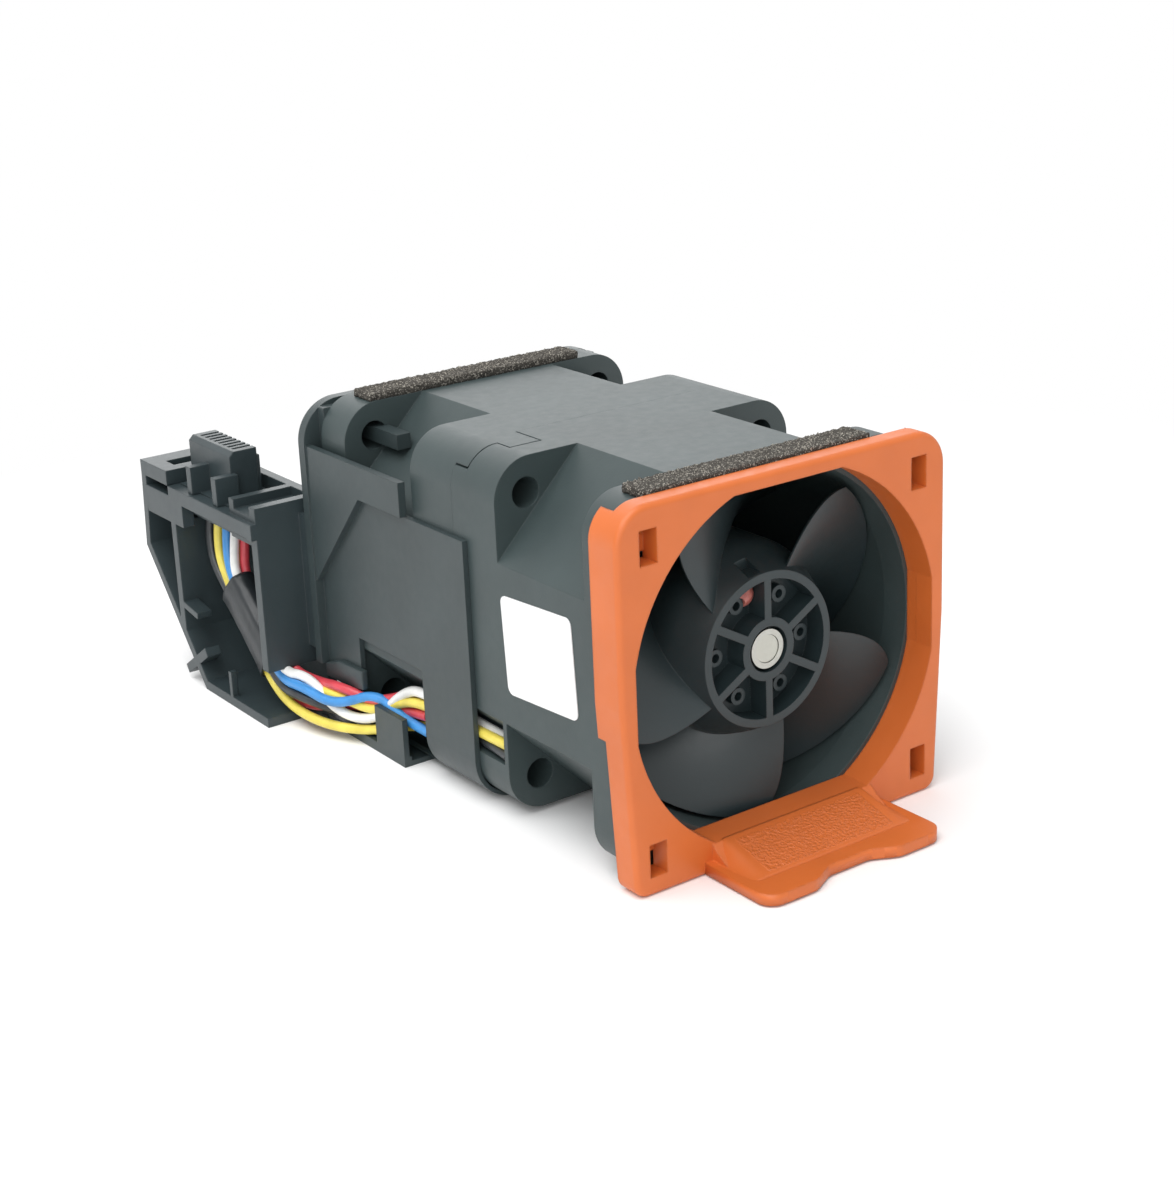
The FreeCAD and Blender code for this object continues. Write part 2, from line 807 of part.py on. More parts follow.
def stator_pieces(side):
    """The bearings and their tube, the wound core and the circuit board."""
    bore = size.bearing_radius + size.seat_gap
    tube_span = depth_span(side, bearing_starts[0] - 0.6, size.fan_depth)
    keep(tube(side + "_sleeve_tube", tube_radius, bore, tube_span), side + "_bearing_tube")
    races = []
    split = size.shaft_radius + RUNNING_GAP + size.bearing_race
    for number, start in enumerate(bearing_starts):
        span = depth_span(side, start, start + size.bearing_width)
        name = "%s_bearing_%d" % (side, number)
        races.append(tube(name + "_outer", size.bearing_radius, split + size.seat_gap, span))
        races.append(tube(name + "_inner", split, size.shaft_radius + RUNNING_GAP, span))
    keep(group(side + "_bearings", *races), side + "_ball_bearings")
    core_span = depth_span(side, stator_start, stator_end)
    seat = tube_radius + size.seat_gap
    ring = tube(side + "_core_ring", seat + 1.1, seat, core_span)
    shoes = tube(side + "_core_shoes", stator_radius, stator_radius - 0.8, core_span)
    quarters = range(STATOR_TEETH)
    step = 360.0 / STATOR_TEETH
    gaps = []
    arms = []
    for number in quarters:
        name = "%s_tooth_%d" % (side, number)
        reach = (seat + 0.5, stator_radius - 0.4)
        arms.append(radial_box(name, reach, core_span, 2.4, number * step))
        far = (stator_radius - 2.0, stator_radius + 1.0)
        gaps.append(radial_box(name + "_slot", far, core_span, 1.6, (number + 0.5) * step))
    poles = cut(side + "_core_poles", shoes, *gaps)
    keep(join(side + "_core", ring, poles, *arms), side + "_stator_core")
    frames = []
    for end, (first, second) in enumerate(
        (
            (stator_start - insulator_wall, stator_start),
            (stator_end, stator_end + insulator_wall),
        )
    ):
        span = depth_span(side, first, second)
        name = "%s_insulator_%d" % (side, end)
        pieces = [tube(name + "_ring", seat + 1.1, seat, span)]
        for number in quarters:
            reach = (seat + 0.5, stator_radius - 0.3)
            arm = "%s_arm_%d" % (name, number)
            pieces.append(radial_box(arm, reach, span, 2.4, number * step))
        frames.append(join(name, *pieces))
    keep(group(side + "_insulators", *frames), side + "_winding_insulators")
    coils = []
    coil_start = stator_start - insulator_wall - 1.2
    coil_end = stator_end + insulator_wall + 1.2
    for number in quarters:
        name = "%s_coil_%d" % (side, number)
        reach = (seat + 1.2, stator_radius - 1.3)
        block = box(name, reach, depth_span(side, coil_start, coil_end), (-2.3, 2.3))
        core = box(
            name + "_inside",
            (seat, stator_radius),
            depth_span(side, stator_start - insulator_wall - 0.02, stator_end + insulator_wall + 0.02),
            (-1.22, 1.22),
        )
        coils.append(spun(name + "_turned", cut(name + "_winding", block, core), number * step))
    keep(group(side + "_coils", *coils), side + "_stator_windings")
    board_span = depth_span(side, board_start, board_end)
    edge = base_radius - cup_wall - size.seat_gap
    keep(tube(side + "_board", edge, seat, board_span), side + "_circuit_board")


# The orange bezel with its pull tab


def hook(name, across, up, inward, y, catch_end):
    """A square snap arm through a corner hole, with its catch at the far end."""
    toward = -1 if (across.value > 0) == inward else 1
    near = across + 0.1 * toward
    far = across + (size.hook_width + 0.1) * toward
    tip = far + size.hook_catch * toward
    height = (up - size.hook_height / 2, up + size.hook_height / 2)
    arm = box(name + "_arm", (near, far), y, height)
    catch = box(name + "_catch", (near, tip), catch_end, height)
    return join(name, arm, catch)


def bezel():
    """The front plate, its skirts, its collar, its hooks and the pull tab."""
    body = new_body("bezel_body")
    wide = module_side
    narrow = half + size.bezel_foot_reach
    top = axis + half + size.bezel_top_reach
    outline = [(-narrow, 0.0), (narrow, 0.0), (wide, axis), (wide, top), (-wide, top), (-wide, axis)]
    pad_along_y(body, "bezel_plate_pad", outline, (0.0, size.bezel_skirt))
    highest = top.value

    def top_corner(edge):
        return runs_along(edge, ALONG_Y) and edge.CenterOfMass.z > highest - 0.01

    def foot_corner(edge):
        return runs_along(edge, ALONG_Y) and edge.CenterOfMass.z < 0.01

    round_body(body, "bezel_top_corners", 4.0, top_corner)
    round_body(body, "bezel_foot_corners", 1.6, foot_corner)

    def front_rim(edge):
        box_of_edge = edge.BoundBox
        return box_of_edge.YMax < 0.01 and box_of_edge.ZMax > 2.0

    round_body(body, "bezel_front_round", 0.6, front_rim)
    seat = half + size.seat_gap
    past = size.bezel_skirt + BEYOND
    seat_outline = rectangle((-seat, seat), (fan_foot - size.seat_gap, top + BEYOND))
    pocket_along_y(body, "fan_seat", seat_outline, (size.bezel_plate, past))
    side_outline = rectangle((-wide - BEYOND, wide + BEYOND), (-BEYOND, axis - 4.0))
    pocket_along_y(body, "low_skirt_cut", side_outline, (size.bezel_low_skirt, past))
    clip = (-opening_side, opening_side)
    height = (opening_foot, opening_top)
    hole = rod("opening_round", opening_radius, (-BEYOND, past))
    opening = overlap("opening", hole, box("opening_clip", clip, (-BEYOND, past), height))
    collar_y = (size.bezel_plate, size.bezel_reach)
    ring = rod("collar_round", opening_radius + size.collar_wall, collar_y)
    height = (opening_foot - size.collar_wall, opening_top + size.collar_wall)
    limits = box("collar_clip", (-half, half), collar_y, height)
    collar = overlap("collar", ring, limits)
    pieces = [body, collar]
    windows = []
    behind = fan_front + size.outer_flange + 0.1
    for across in (1, -1):
        near = (hole_offset + size.window_outset) * across
        sides = (near, near + size.window_width * across)
        upper = axis + hole_offset - size.window_top_inset
        lower = axis - hole_offset + size.window_foot_inset
        high = (upper, upper + size.window_height)
        low = (lower - size.window_height, lower)
        name = "right" if across > 0 else "left"
        thickness = (-BEYOND, size.bezel_plate + 0.01)
        windows.append(box(name + "_upper_window", sides, thickness, high))
        windows.append(box(name + "_lower_window", sides, thickness, low))
        for up in (1, -1):
            pieces.append(
                hook(
                    "bezel_hook_%s_%s" % (name, "upper" if up > 0 else "lower"),
                    hole_offset * across,
                    axis + hole_offset * up,
                    False,
                    (size.bezel_plate - 0.2, behind + 1.4),
                    (behind, behind + 1.4),
                )
            )
    shell = cut("bezel_shell", join("bezel_block", *pieces[:2]), opening, *windows)
    return join("bezel_whole", shell, pull_tab(), *pieces[2:])


def pull_tab():
    """A flat tab with a scooped front edge, ramped up to the plate behind it."""
    body = new_body("tab_body")
    wide = size.tab_half_width
    reach = size.tab_reach
    corner = size.tab_corner
    dip = reach - size.tab_dip
    root = size.bezel_plate
    outline = [
        (-wide, root),
        (-wide, corner - reach),
        (corner - wide, -reach),
        (-wide * 0.48, -reach),
        (-wide * 0.22, -dip),
        (wide * 0.22, -dip),
        (wide * 0.48, -reach),
        (wide - corner, -reach),
        (wide, corner - reach),
        (wide, root),
    ]
    top = size.tab_foot + size.tab_thickness
    pad_along_z(body, "tab_pad", outline, (size.tab_foot, top))
    front = -dip.value + 0.01

    def front_edge(edge):
        return runs_along(edge, ALONG_Z) and edge.CenterOfMass.y < front

    round_body(body, "tab_front_round", 2.0, front_edge)
    slope = [
        (0.0, top - 0.3),
        (0.0, opening_foot),
        (-size.tab_ramp * 0.35, opening_foot - 0.8),
        (-size.tab_ramp, top),
        (-size.tab_ramp, top - 0.3),
    ]
    root_width = size.tab_half_width - 1.0
    pad_along_x(body, "tab_ramp_pad", slope, (-root_width, root_width))
    grip = rectangle((-8.6, 8.6), (-6.3, -size.tab_ramp - 0.1))
    pocket_down(body, "tab_grip_recess", grip, (top, top - size.grip_depth))
    return body


# The carrier: a channel under the fans with a rear plate, a wire clip and a guide arm


def opening_through(name, y, wide, top):
    """The air passage through the carrier's rear plate."""
    hole = rod(name + "_round", bore_radius, y)
    limits = box(name + "_limits", (-wide, wide), y, (axis - bore_radius, top))
    return overlap(name, hole, limits)


def carrier():
    """The moulded cradle that the fans lie in."""
    side = carrier_side
    rise = axis + size.carrier_rise
    channel_y = (carrier_front, plate_front)
    outer = box("channel_outside", (-side, side), channel_y, (0.0, rise))

    def foot_edge(edge):
        return runs_along(edge, ALONG_Y) and edge.CenterOfMass.z < 0.01

    outer = rounded("channel_outer_round", outer, size.corner_radius + 0.65, foot_edge)
    within_y = (carrier_front - BEYOND, plate_front + BEYOND)
    inner = box("channel_inside", (-half, half), within_y, (fan_foot, rise + BEYOND))
    floor_height = fan_foot.value + 0.01

    def inner_edge(edge):
        return runs_along(edge, ALONG_Y) and edge.CenterOfMass.z < floor_height

    inner = rounded("channel_inner_round", inner, size.corner_radius - 0.4, inner_edge)
    channel = cut("channel", outer, inner)
    wall_cut = (-side - BEYOND, -half + 2.6)
    slot = box("wire_slot", wall_cut, (slot_front, slot_rear), (1.2, axis - size.slot_drop))
    exit_top = size.clip_height + 1.9
    way_out = box("wire_exit", wall_cut, (slot_rear - 0.1, plate_front), (1.2, exit_top))
    channel = cut("channel_slotted", channel, slot, way_out)
    wide = module_side
    plate_y = (plate_front, plate_rear)
    plate = box("rear_plate_block", (-wide, wide), plate_y, (0.0, plate_top))
    highest = plate_top.value

    def top_edge(edge):
        return runs_along(edge, ALONG_Y) and edge.CenterOfMass.z > highest - 0.01

    plate = rounded("rear_plate_round", plate, 5.0, top_edge)
    low = (fan_foot, plate_top - 0.7)
    spacer = box("fan_stop", (-half + 0.5, half - 0.5), (fan_rear, plate_front), low)
    through = (fan_rear - BEYOND, plate_rear + BEYOND)
    air = opening_through("rear_opening", through, half - 0.9, plate_top - 1.6)
    corner = box("plate_corner_cut", (-wide - BEYOND, -half + 1.6), through, (0.9, exit_top))
    back = cut("rear_plate", join("rear_plate_stop", plate, spacer), air, corner)
    clip_y = (clip_front, clip_rear)
    clip_outer = -side - 0.75
    clip_face = box("clip_face", (clip_outer, clip_outer + 0.7), clip_y, (0.0, size.clip_height))
    clip_foot = box("clip_foot", (clip_outer, -half + 5.0), clip_y, (0.0, fan_foot))
    strip_y = (clip_front, guard_front)
    strip = box("clip_strip", (clip_outer, clip_outer + 1.0), strip_y, (0.0, 1.2))
    strip_end = box(
        "strip_foot",
        (clip_outer, -half + 3.0),
        (plate_front - 1.5, plate_rear),
        (0.0, 0.9),
    )
    hook_y = (rear_flange_front - 4.9, plate_front + 0.2)
    catch_y = (rear_flange_front - 4.9, rear_flange_front - 0.1)
    up = axis + hole_offset
    hooks = [
        hook("carrier_hook_left", -hole_offset, up, True, hook_y, catch_y),
        hook("carrier_hook_right", hole_offset, up, True, hook_y, catch_y),
    ]
    pieces = [channel, back, clip_face, clip_foot, strip, strip_end, guide_arm()]
    return join("carrier_whole", *pieces, *hooks)


def guide_arm():
    """A flat arm with a slanting gusset, proud of the left wall."""
    body = new_body("arm_body")
    top = axis + size.carrier_rise + 0.2 + size.arm_height
    foot = axis + size.carrier_rise + 0.2
    front = fan_middle + size.inner_flange + 0.3
    outline = [
        (plate_front, top),
        (front, top),
        (front, foot),
        (plate_front - 11.4, foot),
        (plate_front, axis - 2.3),
    ]
    side = carrier_side
    pad_along_x(body, "arm_pad", outline, (-side - size.arm_thickness, -side))
    return body


# The connector guard behind the carrier, open on its left side


guard_rear = guard_front + size.guard_length
guard_top = axis + size.guard_rise
deck_front = guard_front + size.deck_length
deck_rear = deck_front + size.seat_length
guard_left = -half - size.guard_reach
guard_right = guard_left + size.guard_width
beam_top = axis + 5.15
beam_foot = axis + 3.3


PEG_LENGTH = 2.0


def guard():
    """A box-like shield with a sloping back, rails on top and pegs inside."""
    body = new_body("guard_body")
    left = guard_left
    right = guard_right
    front = guard_front
    rear = guard_rear
    wall = size.guard_wall
    slope_start = front + 16.7
    knee = 16.0
    outline = [(front, 0.0), (slope_start, 0.0), (rear, knee), (rear - 0.7, beam_top), (front, beam_top)]
    pad_along_x(body, "guard_pad", outline, (left, right))
    inner = [
        (front + wall + 0.3, wall),
        (slope_start - 0.5, wall),
        (rear - wall, knee + 0.5),
        (rear - 0.7 - wall, beam_foot),
        (front + wall + 0.3, beam_foot),
    ]
    sketch = sketch_on(body, "guard_hollow_outline", "YZ_Plane", left - BEYOND, inner)
    feature(body, "Pocket", "guard_hollow", sketch, right - wall - left + BEYOND, True)
    inside_right = right - wall
    seat_x = (left + 1.55, inside_right)
    hole = rectangle(seat_x, (deck_front, deck_rear))
    pocket_down(body, "plug_seat", hole, (beam_top + BEYOND, beam_foot - BEYOND))
    mouth = box(
        "wire_mouth",
        (left - BEYOND, inside_right),
        (front - BEYOND, front + wall + 0.4),
        (wall, size.wire_mouth),
    )
    notch = box(
        "guard_edge_notch",
        (left - BEYOND, left + 0.7),
        (front - BEYOND, front + wall + 0.3),
        (size.wire_mouth - 0.1, beam_foot - 0.1),
    )
    high = guard_top
    link_foot = size.wire_mouth + 2.25
    rail_x = (left + 0.7, right)
    deck_low = beam_foot + 0.7
    pieces = [
        cut("guard_shell", body, mouth, notch),
        box("front_deck", rail_x, (front, deck_front), (deck_low, beam_top + 0.75)),
        box("front_rail", rail_x, (front, front + 1.4), (beam_top, high)),
        box("second_rail", rail_x, (deck_front - 1.2, deck_front), (beam_top, high)),
        box("right_wall", (inside_right, right), (front, rear - 0.7), (beam_foot, high)),
        box("rear_wall_top", (left, right), (rear - 0.7 - wall, rear - 0.7), (beam_foot, high)),
        box("inner_wall", (left, inside_right), (deck_rear - 1.0, deck_rear + 0.3), (6.4, axis + 0.6)),
        box(
            "lead_shelf",
            (left + 0.7, left + 2.2),
            (front + 1.4, deck_front),
            (axis + 2.2, axis + 2.8),
        ),
        box("plate_link", (-half - 1.4, right), (plate_rear, front), (link_foot, axis + 5.35)),
    ]
    block = box("top_block", (left, right), (rear - 8.2, rear - 0.7), (beam_top, high))
    window_y = (rear - 6.3, rear - 3.9)
    window_z = (beam_top - 1.0, high + 1.0)
    window = box("top_window", (left + 2.1, right - 2.6), window_y, window_z)
    side_slot = box(
        "side_slot",
        (left - BEYOND, inside_right),
        (rear - 8.3, rear - 0.7 - wall),
        (beam_top - 1.25, beam_top),
    )
    lower_deck = box(
        "rear_deck",
        (left, inside_right),
        (deck_rear, rear - 0.7 - wall + 0.2),
        (axis + 0.4, beam_foot + 0.1),
    )
    deep_beam = box(
        "deep_beam",
        (left, left + 1.55),
        (deck_rear - 3.3, rear - 0.7 - wall + 0.2),
        (axis + 0.4, beam_foot + 0.1),
    )
    near = (left, left + PEG_LENGTH)
    peg_high = spun_peg("peg_high", near, deck_rear - 0.4, axis - 9.9, (-4.4, -0.7), 0.8)
    peg_slope = spun_peg("peg_slope", near, front + 22.1, 1.8, (-6.0, 3.9), 1.2)
    peg_foot = box("peg_foot", (left, left + 0.8), (front + 9.1, front + 9.8), (wall - 0.2, wall + 3.3))
    solid = join("guard_block", *pieces, block, lower_deck, deep_beam, peg_high, peg_slope, peg_foot)
    return cut("guard_whole", solid, window, side_slot)


def spun_peg(name, x, y, z, along, thickness):
    """A rib across the guard, from one place towards another in the side view."""
    length = math.hypot(*along)
    rib = doc.addObject("Part::Box", name)
    low, high = in_order(*x)
    bind(rib, "Length", high - low)
    bind(rib, "Width", length)
    bind(rib, "Height", thickness)
    angle = math.degrees(math.atan2(along[1], along[0]))
    rib.Placement = Placement(Vector(), Rotation(Vector(1, 0, 0), angle))
    put(rib, low, y, z)
    return rib


# The plug: a keyed block with a row of contact slots on top


plug_left = guard_left + 3.1
plug_right = plug_left + size.plug_width
plug_rear = plug_front + size.plug_length
plug_foot = axis + 1.9
plug_top = axis + size.plug_rise
crest = plug_top + 0.6
contact_start = plug_front + (size.plug_length - size.contact_pitch * (CONTACTS - 1)) / 2


def plug():
    """The plug's housing, standing in the guard's top opening."""
    body = new_body("plug_body")
    gap = size.seat_gap
    front = deck_front + gap
    rear = deck_rear - gap
    left = guard_left + 1.55 + gap
    right = guard_right - size.guard_wall - gap
    base_top = beam_top + 0.15
    base = rectangle((left, right), (front, rear))
    pad_along_z(body, "plug_base", base, (plug_foot, base_top))
    tower = rectangle((plug_left, plug_right), (plug_front, plug_rear))
    pad_along_z(body, "plug_tower", tower, (plug_foot, crest))
    highest = crest.value
    leftmost = plug_left.value + 0.01

    def left_crest(edge):
        high_up = edge.CenterOfMass.z > highest - 0.01
        return runs_along(edge, ALONG_Y) and high_up and edge.CenterOfMass.x < leftmost

    doc.recompute()
    base = body.Tip
    edges = enumerate(base.Shape.Edges, start=1)
    picked = ["Edge%d" % number for number, edge in edges if left_crest(edge)]
    bevel = body.newObject("PartDesign::Chamfer", "plug_bevel")
    bevel.Base = (base, picked)
    bind(bevel, "Size", crest - plug_top)
    body.Tip = bevel
    slots = []
    for number in range(CONTACTS):
        middle = contact_start + size.contact_pitch * number
        slots.append(
            box(
                "contact_slot_%d" % number,
                (plug_left + 1.1, plug_right + BEYOND),
                (middle - 0.28, middle + 0.28),
                (plug_top - 2.2, crest + BEYOND),
            )
        )
    rib_top = axis + 8.7
    ribs = []
    for name, start in (("front_rib", plug_front - 0.9), ("rear_rib", plug_front + 5.9)):
        reach = (plug_left - 2.6, plug_left + 0.5)
        ribs.append(box(name, reach, (start, start + 1.2), (base_top - 0.1, rib_top)))
    return join("plug_whole", cut("plug_slotted", body, *slots), *ribs)


def contacts():
    """A thin blade of metal in each slot of the plug."""
    strips = []
    for number in range(CONTACTS):
        middle = contact_start + size.contact_pitch * number
        strips.append(
            box(
                "contact_strip_%d" % number,
                (plug_left + 1.2, plug_right - 0.2),
                (middle - 0.15, middle + 0.15),
                (plug_top - 2.2, plug_top - 0.3),
            )
        )
    return group("contact_set", *strips)


# The leads: two columns of four, held by the clip, the sleeve and the plug


COLUMNS = 2
ROWS = 4
# Each station is the bundle's centre, its turns outward and upward from +Y, and its stagger
STATIONS = (
    (-half + 1.28, fan_middle + 9.2, fan_foot + 6.6, 0.0, -5.0, 0.5),
    (-half + 1.1, clip_rear + 0.6, fan_foot + 4.1, 20.0, -9.0, 0.4),
    (-half - 2.35, rear_flange_front + 0.6, fan_foot + 3.7, 28.0, -6.0, 0.3),
    (-half - 4.0, plate_front, fan_foot + 3.35, 9.0, -3.0, 0.15),
    (-half - 4.3, guard_front + 2.5, fan_foot + 3.3, 1.0, 6.0, 0.0),
    (-half - 4.2, guard_front + 7.9, fan_foot + 4.6, -1.0, 33.0, 0.0),
    (-half - 4.0, plug_front + 4.4, plug_foot - 8.5, -5.0, 64.0, 0.0),
    (-half - 3.0, plug_front + 5.6, plug_foot - 3.3, 0.0, 84.0, 0.0),
)
ROW_PITCH = 1.34
COLUMN_PITCH = 1.27
SLEEVE_SHORTER = 2.4
SLEEVE_CLEARANCE = 0.25


def lead_point(station, column, row):
    """Where one lead of the bundle passes a station."""
    across, along, up = (as_length(part).value for part in station[:3])
    outward, upward = (math.radians(turn) for turn in station[3:5])
    place = row - (ROWS - 1) / 2 + (station[5] if column else -station[5])
    side = column - (COLUMNS - 1) / 2
    column_step = COLUMN_PITCH * side / math.cos(outward)
    return Vector(
        across + column_step * math.cos(outward),
        along + column_step * math.sin(outward) + math.sin(upward) * place * ROW_PITCH,
        up - math.cos(upward) * place * ROW_PITCH,
    )


def tube_along(name, points, diameter, report=True):
    """A round cord along straight runs joined by tangent arcs."""
    runs = [(end - start).Length for start, end in zip(points, points[1:])]
    edges = []
    start = points[0]
    radii = []
    for number in range(1, len(points) - 1):
        before = (points[number - 1] - points[number]).normalize()
        after = (points[number + 1] - points[number]).normalize()
        turn = math.pi - before.getAngle(after)
        trim = 0.45 * min(runs[number - 1], runs[number])
        radius = trim / math.tan(turn / 2)
        radii.append(radius)
        first = points[number] + before * trim
        last = points[number] + after * trim
        bisector = (before + after).normalize()
        middle = points[number] + bisector * (radius / math.cos(turn / 2) - radius)
        edges.append(Part.LineSegment(start, first).toShape())
        edges.append(Part.Arc(first, middle, last).toShape())
        start = last
    edges.append(Part.LineSegment(start, points[-1]).toShape())
    path = Part.Wire(edges)
    heading = (points[1] - points[0]).normalize()
    ring = Part.Wire([Part.makeCircle(diameter / 2, points[0], heading)])
    solid = path.makePipeShell([ring], True, False)
    expected = math.pi * diameter ** 2 / 4 * path.Length
    if report:
        ratio = solid.Volume / expected
        print("%s: length %.1f, smallest radius %.1f, volume %.4f of section times length" % (
            name, path.Length, min(radii), ratio))
    made = doc.addObject("Part::Feature", name)
    made.Shape = solid
    return made


LEAD_NAMES = (
    ("red_lead_front", "yellow_lead_front", "blue_lead_rear", "yellow_lead_rear"),
    ("white_lead_front", "black_lead_front", "black_lead_rear", "red_lead_rear"),
)


def leads():
    """Eight leads, the upper two rows to the front fan and the lower two to the rear fan."""
    for column in range(COLUMNS):
        for row in range(ROWS):
            points = [lead_point(station, column, row) for station in STATIONS]
            first = points[0]
            if row < ROWS / 2:
                points.insert(0, Vector(first.x, (fan_middle - CHANNEL_STOP).value, first.z))
            else:
                points[0] = Vector(first.x, (fan_middle + size.inner_flange).value, first.z)
                slant = (points[1] - points[0]).normalize()
                points[0].y += size.wire_diameter.value / 2 * math.sqrt(1.0 - slant.y ** 2)
            last = points[-1]
            contact_y = plug_rear.value - 2.0 - (ROWS - 1 - row) * 2.2
            end = Vector(last.x, contact_y, plug_foot.value)
            slant = (end - last).normalize()
            end.z -= size.wire_diameter.value / 2 * math.sqrt(1.0 - slant.z ** 2)
            points.append(end)
            name = LEAD_NAMES[column][row]
            keep(tube_along(name, points, size.wire_diameter.value), name)


def sleeve():
    """A flattened shrink sleeve round the bundle."""
    start, end = (
        Vector(*(as_length(part).value for part in station[:3]))
        for station in STATIONS[-3:-1]
    )
    run = end - start
    angle = math.degrees(math.atan2(run.z, run.y))
    length = run.Length - SLEEVE_SHORTER
    corner = size.wire_diameter.value / 2 + SLEEVE_CLEARANCE
    wide = COLUMN_PITCH / 2 + corner
    deep = ROW_PITCH * (ROWS - 1) / 2 + corner

    def oval(grow):
        corner_place = Vector(-wide - grow, -length / 2, -deep - grow)
        block = Part.makeBox(2 * (wide + grow), length, 2 * (deep + grow), corner_place)
        edges = [edge for edge in block.Edges if runs_along(edge, ALONG_Y)]
        return block.makeFillet(corner + grow, edges)

    made = doc.addObject("Part::Feature", "sleeve_tube")
    made.Shape = oval(size.sleeve_wall.value).cut(oval(0.0))
    made.Placement = Placement(start + run * 0.5, Rotation(Vector(1, 0, 0), angle))
    return made


# The foam strips, the blank label and the dab of balance putty


def foam_strip(name, y):
    """A strip of sealing foam on top of a flange."""
    body = new_body(name)
    reach = half - size.foam_end_inset
    length = (size.foam_shift - reach, size.foam_shift + reach)
    pad_along_z(body, name + "_pad", rectangle(length, y), (fan_top, fan_top + size.foam_height))
    return body


def label():
    """A blank label on the left flank of the front fan, stuck on slightly askew."""
    body = new_body("label_body")
    long = size.label_length / 2
    tall = size.label_height / 2
    pad_along_x(body, "label_pad", rectangle((-long, long), (-tall, tall)), (-size.label_thickness, 0.0))
    round_body(body, "label_corners", 0.9, lambda edge: runs_along(edge, ALONG_X))
    body.Placement = Placement(Vector(), Rotation(Vector(1, 0, 0), -3.5))
    put(body, -half, fan_front + 12.75, axis + 0.6)
    return body


PUTTY_RADIUS = 1.45
PUTTY_REACH = 6.1
PUTTY_ANGLE = -15.5
PUTTY_GAP = 0.02


def putty():
    """A dab of balance putty in one nose pocket, pressed in between a spoke and a pin."""
    lean = math.radians(PUTTY_ANGLE)
    across = PUTTY_REACH * math.sin(lean)
    up = axis + PUTTY_REACH * math.cos(lean)
    blob = doc.addObject("Part::Sphere", "putty_blob")
    bind(blob, "Radius", PUTTY_RADIUS)
    blob.Angle1 = 0.0
    blob.Placement = Placement(Vector(), Rotation(Vector(1, 0, 0), 90.0))
    put(blob, across, depth_place("front", pocket_floor), up)
    around = depth_span("front", pocket_floor - 3.0, pocket_floor + 3.0)
    pin_turn = math.radians(-180.0 / SPOKES)
    pin_room = rod(
        "putty_pin_room",
        PIN_RADIUS + PUTTY_GAP,
        around,
        pin_place * math.sin(pin_turn),
        axis + pin_place * math.cos(pin_turn),
    )
    spoke_side = size.spoke_width / 2 + PUTTY_GAP
    spoke_room = box("putty_spoke_room", (-spoke_side, spoke_side), around, (axis, axis + 9.0))
    return cut("putty_dome", blob, pin_room, spoke_room)


keep(bezel(), "front_bezel")
keep(fan_frame("front"), "front_fan_frame")
keep(fan_frame("rear"), "rear_fan_frame")
keep(impeller("front", FRONT_BLADES, -1, FRONT_TURN), "front_impeller")
keep(impeller("rear", REAR_BLADES, 1, REAR_TURN), "rear_impeller")
for fan in ("front", "rear"):
    rotor_pieces(fan)
    stator_pieces(fan)
keep(putty(), "balance_putty")
foam_front = size.bezel_top_skirt + 0.1
keep(foam_strip("front_foam", (foam_front, foam_front + size.foam_width)), "front_foam_strip")
foam_rear = (rear_flange_front, rear_flange_front + size.foam_width)
keep(foam_strip("rear_foam", foam_rear), "rear_foam_strip")
keep(label(), "blank_label")
keep(carrier(), "fan_carrier")
keep(guard(), "connector_guard")
keep(plug(), "connector_plug")
keep(contacts(), "connector_contacts")
leads()
keep(sleeve(), "heat_shrink_sleeve")

doc.recompute()


def check_model():
    """Stop if any object failed or any sub-part has no sound shape."""
    for thing in doc.Objects:
        if "Invalid" in thing.State or "Error" in thing.State:
            raise RuntimeError("%s did not build: %s" % (thing.Name, thing.State))
    for label, node in NODES:
        if node.Shape.isNull() or not node.Shape.isValid():
            raise RuntimeError("%s has no sound shape" % label)


check_model()
os.makedirs("parts", exist_ok=True)
for label, node in NODES:
    node.Shape.exportStep(os.path.join("parts", label + ".step"))
    solids = len(node.Shape.Solids)
    print("%s: %d solid(s), volume %.1f" % (label, solids, node.Shape.Volume))
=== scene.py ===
# %% [markdown]
# # A server fan module
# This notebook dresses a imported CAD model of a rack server's fan module: two small fans, back to
# back, in one black carrier with an orange bezel. The model is loaded as a fixed frame, and every
# piece is placed where the frame says. Blender works in metres. Where places are written in
# millimetres, because that reads better, they are multiplied by MM.

# %% Load the frame
import bmesh
import bpy
import math
from mathutils import Matrix, Vector, noise


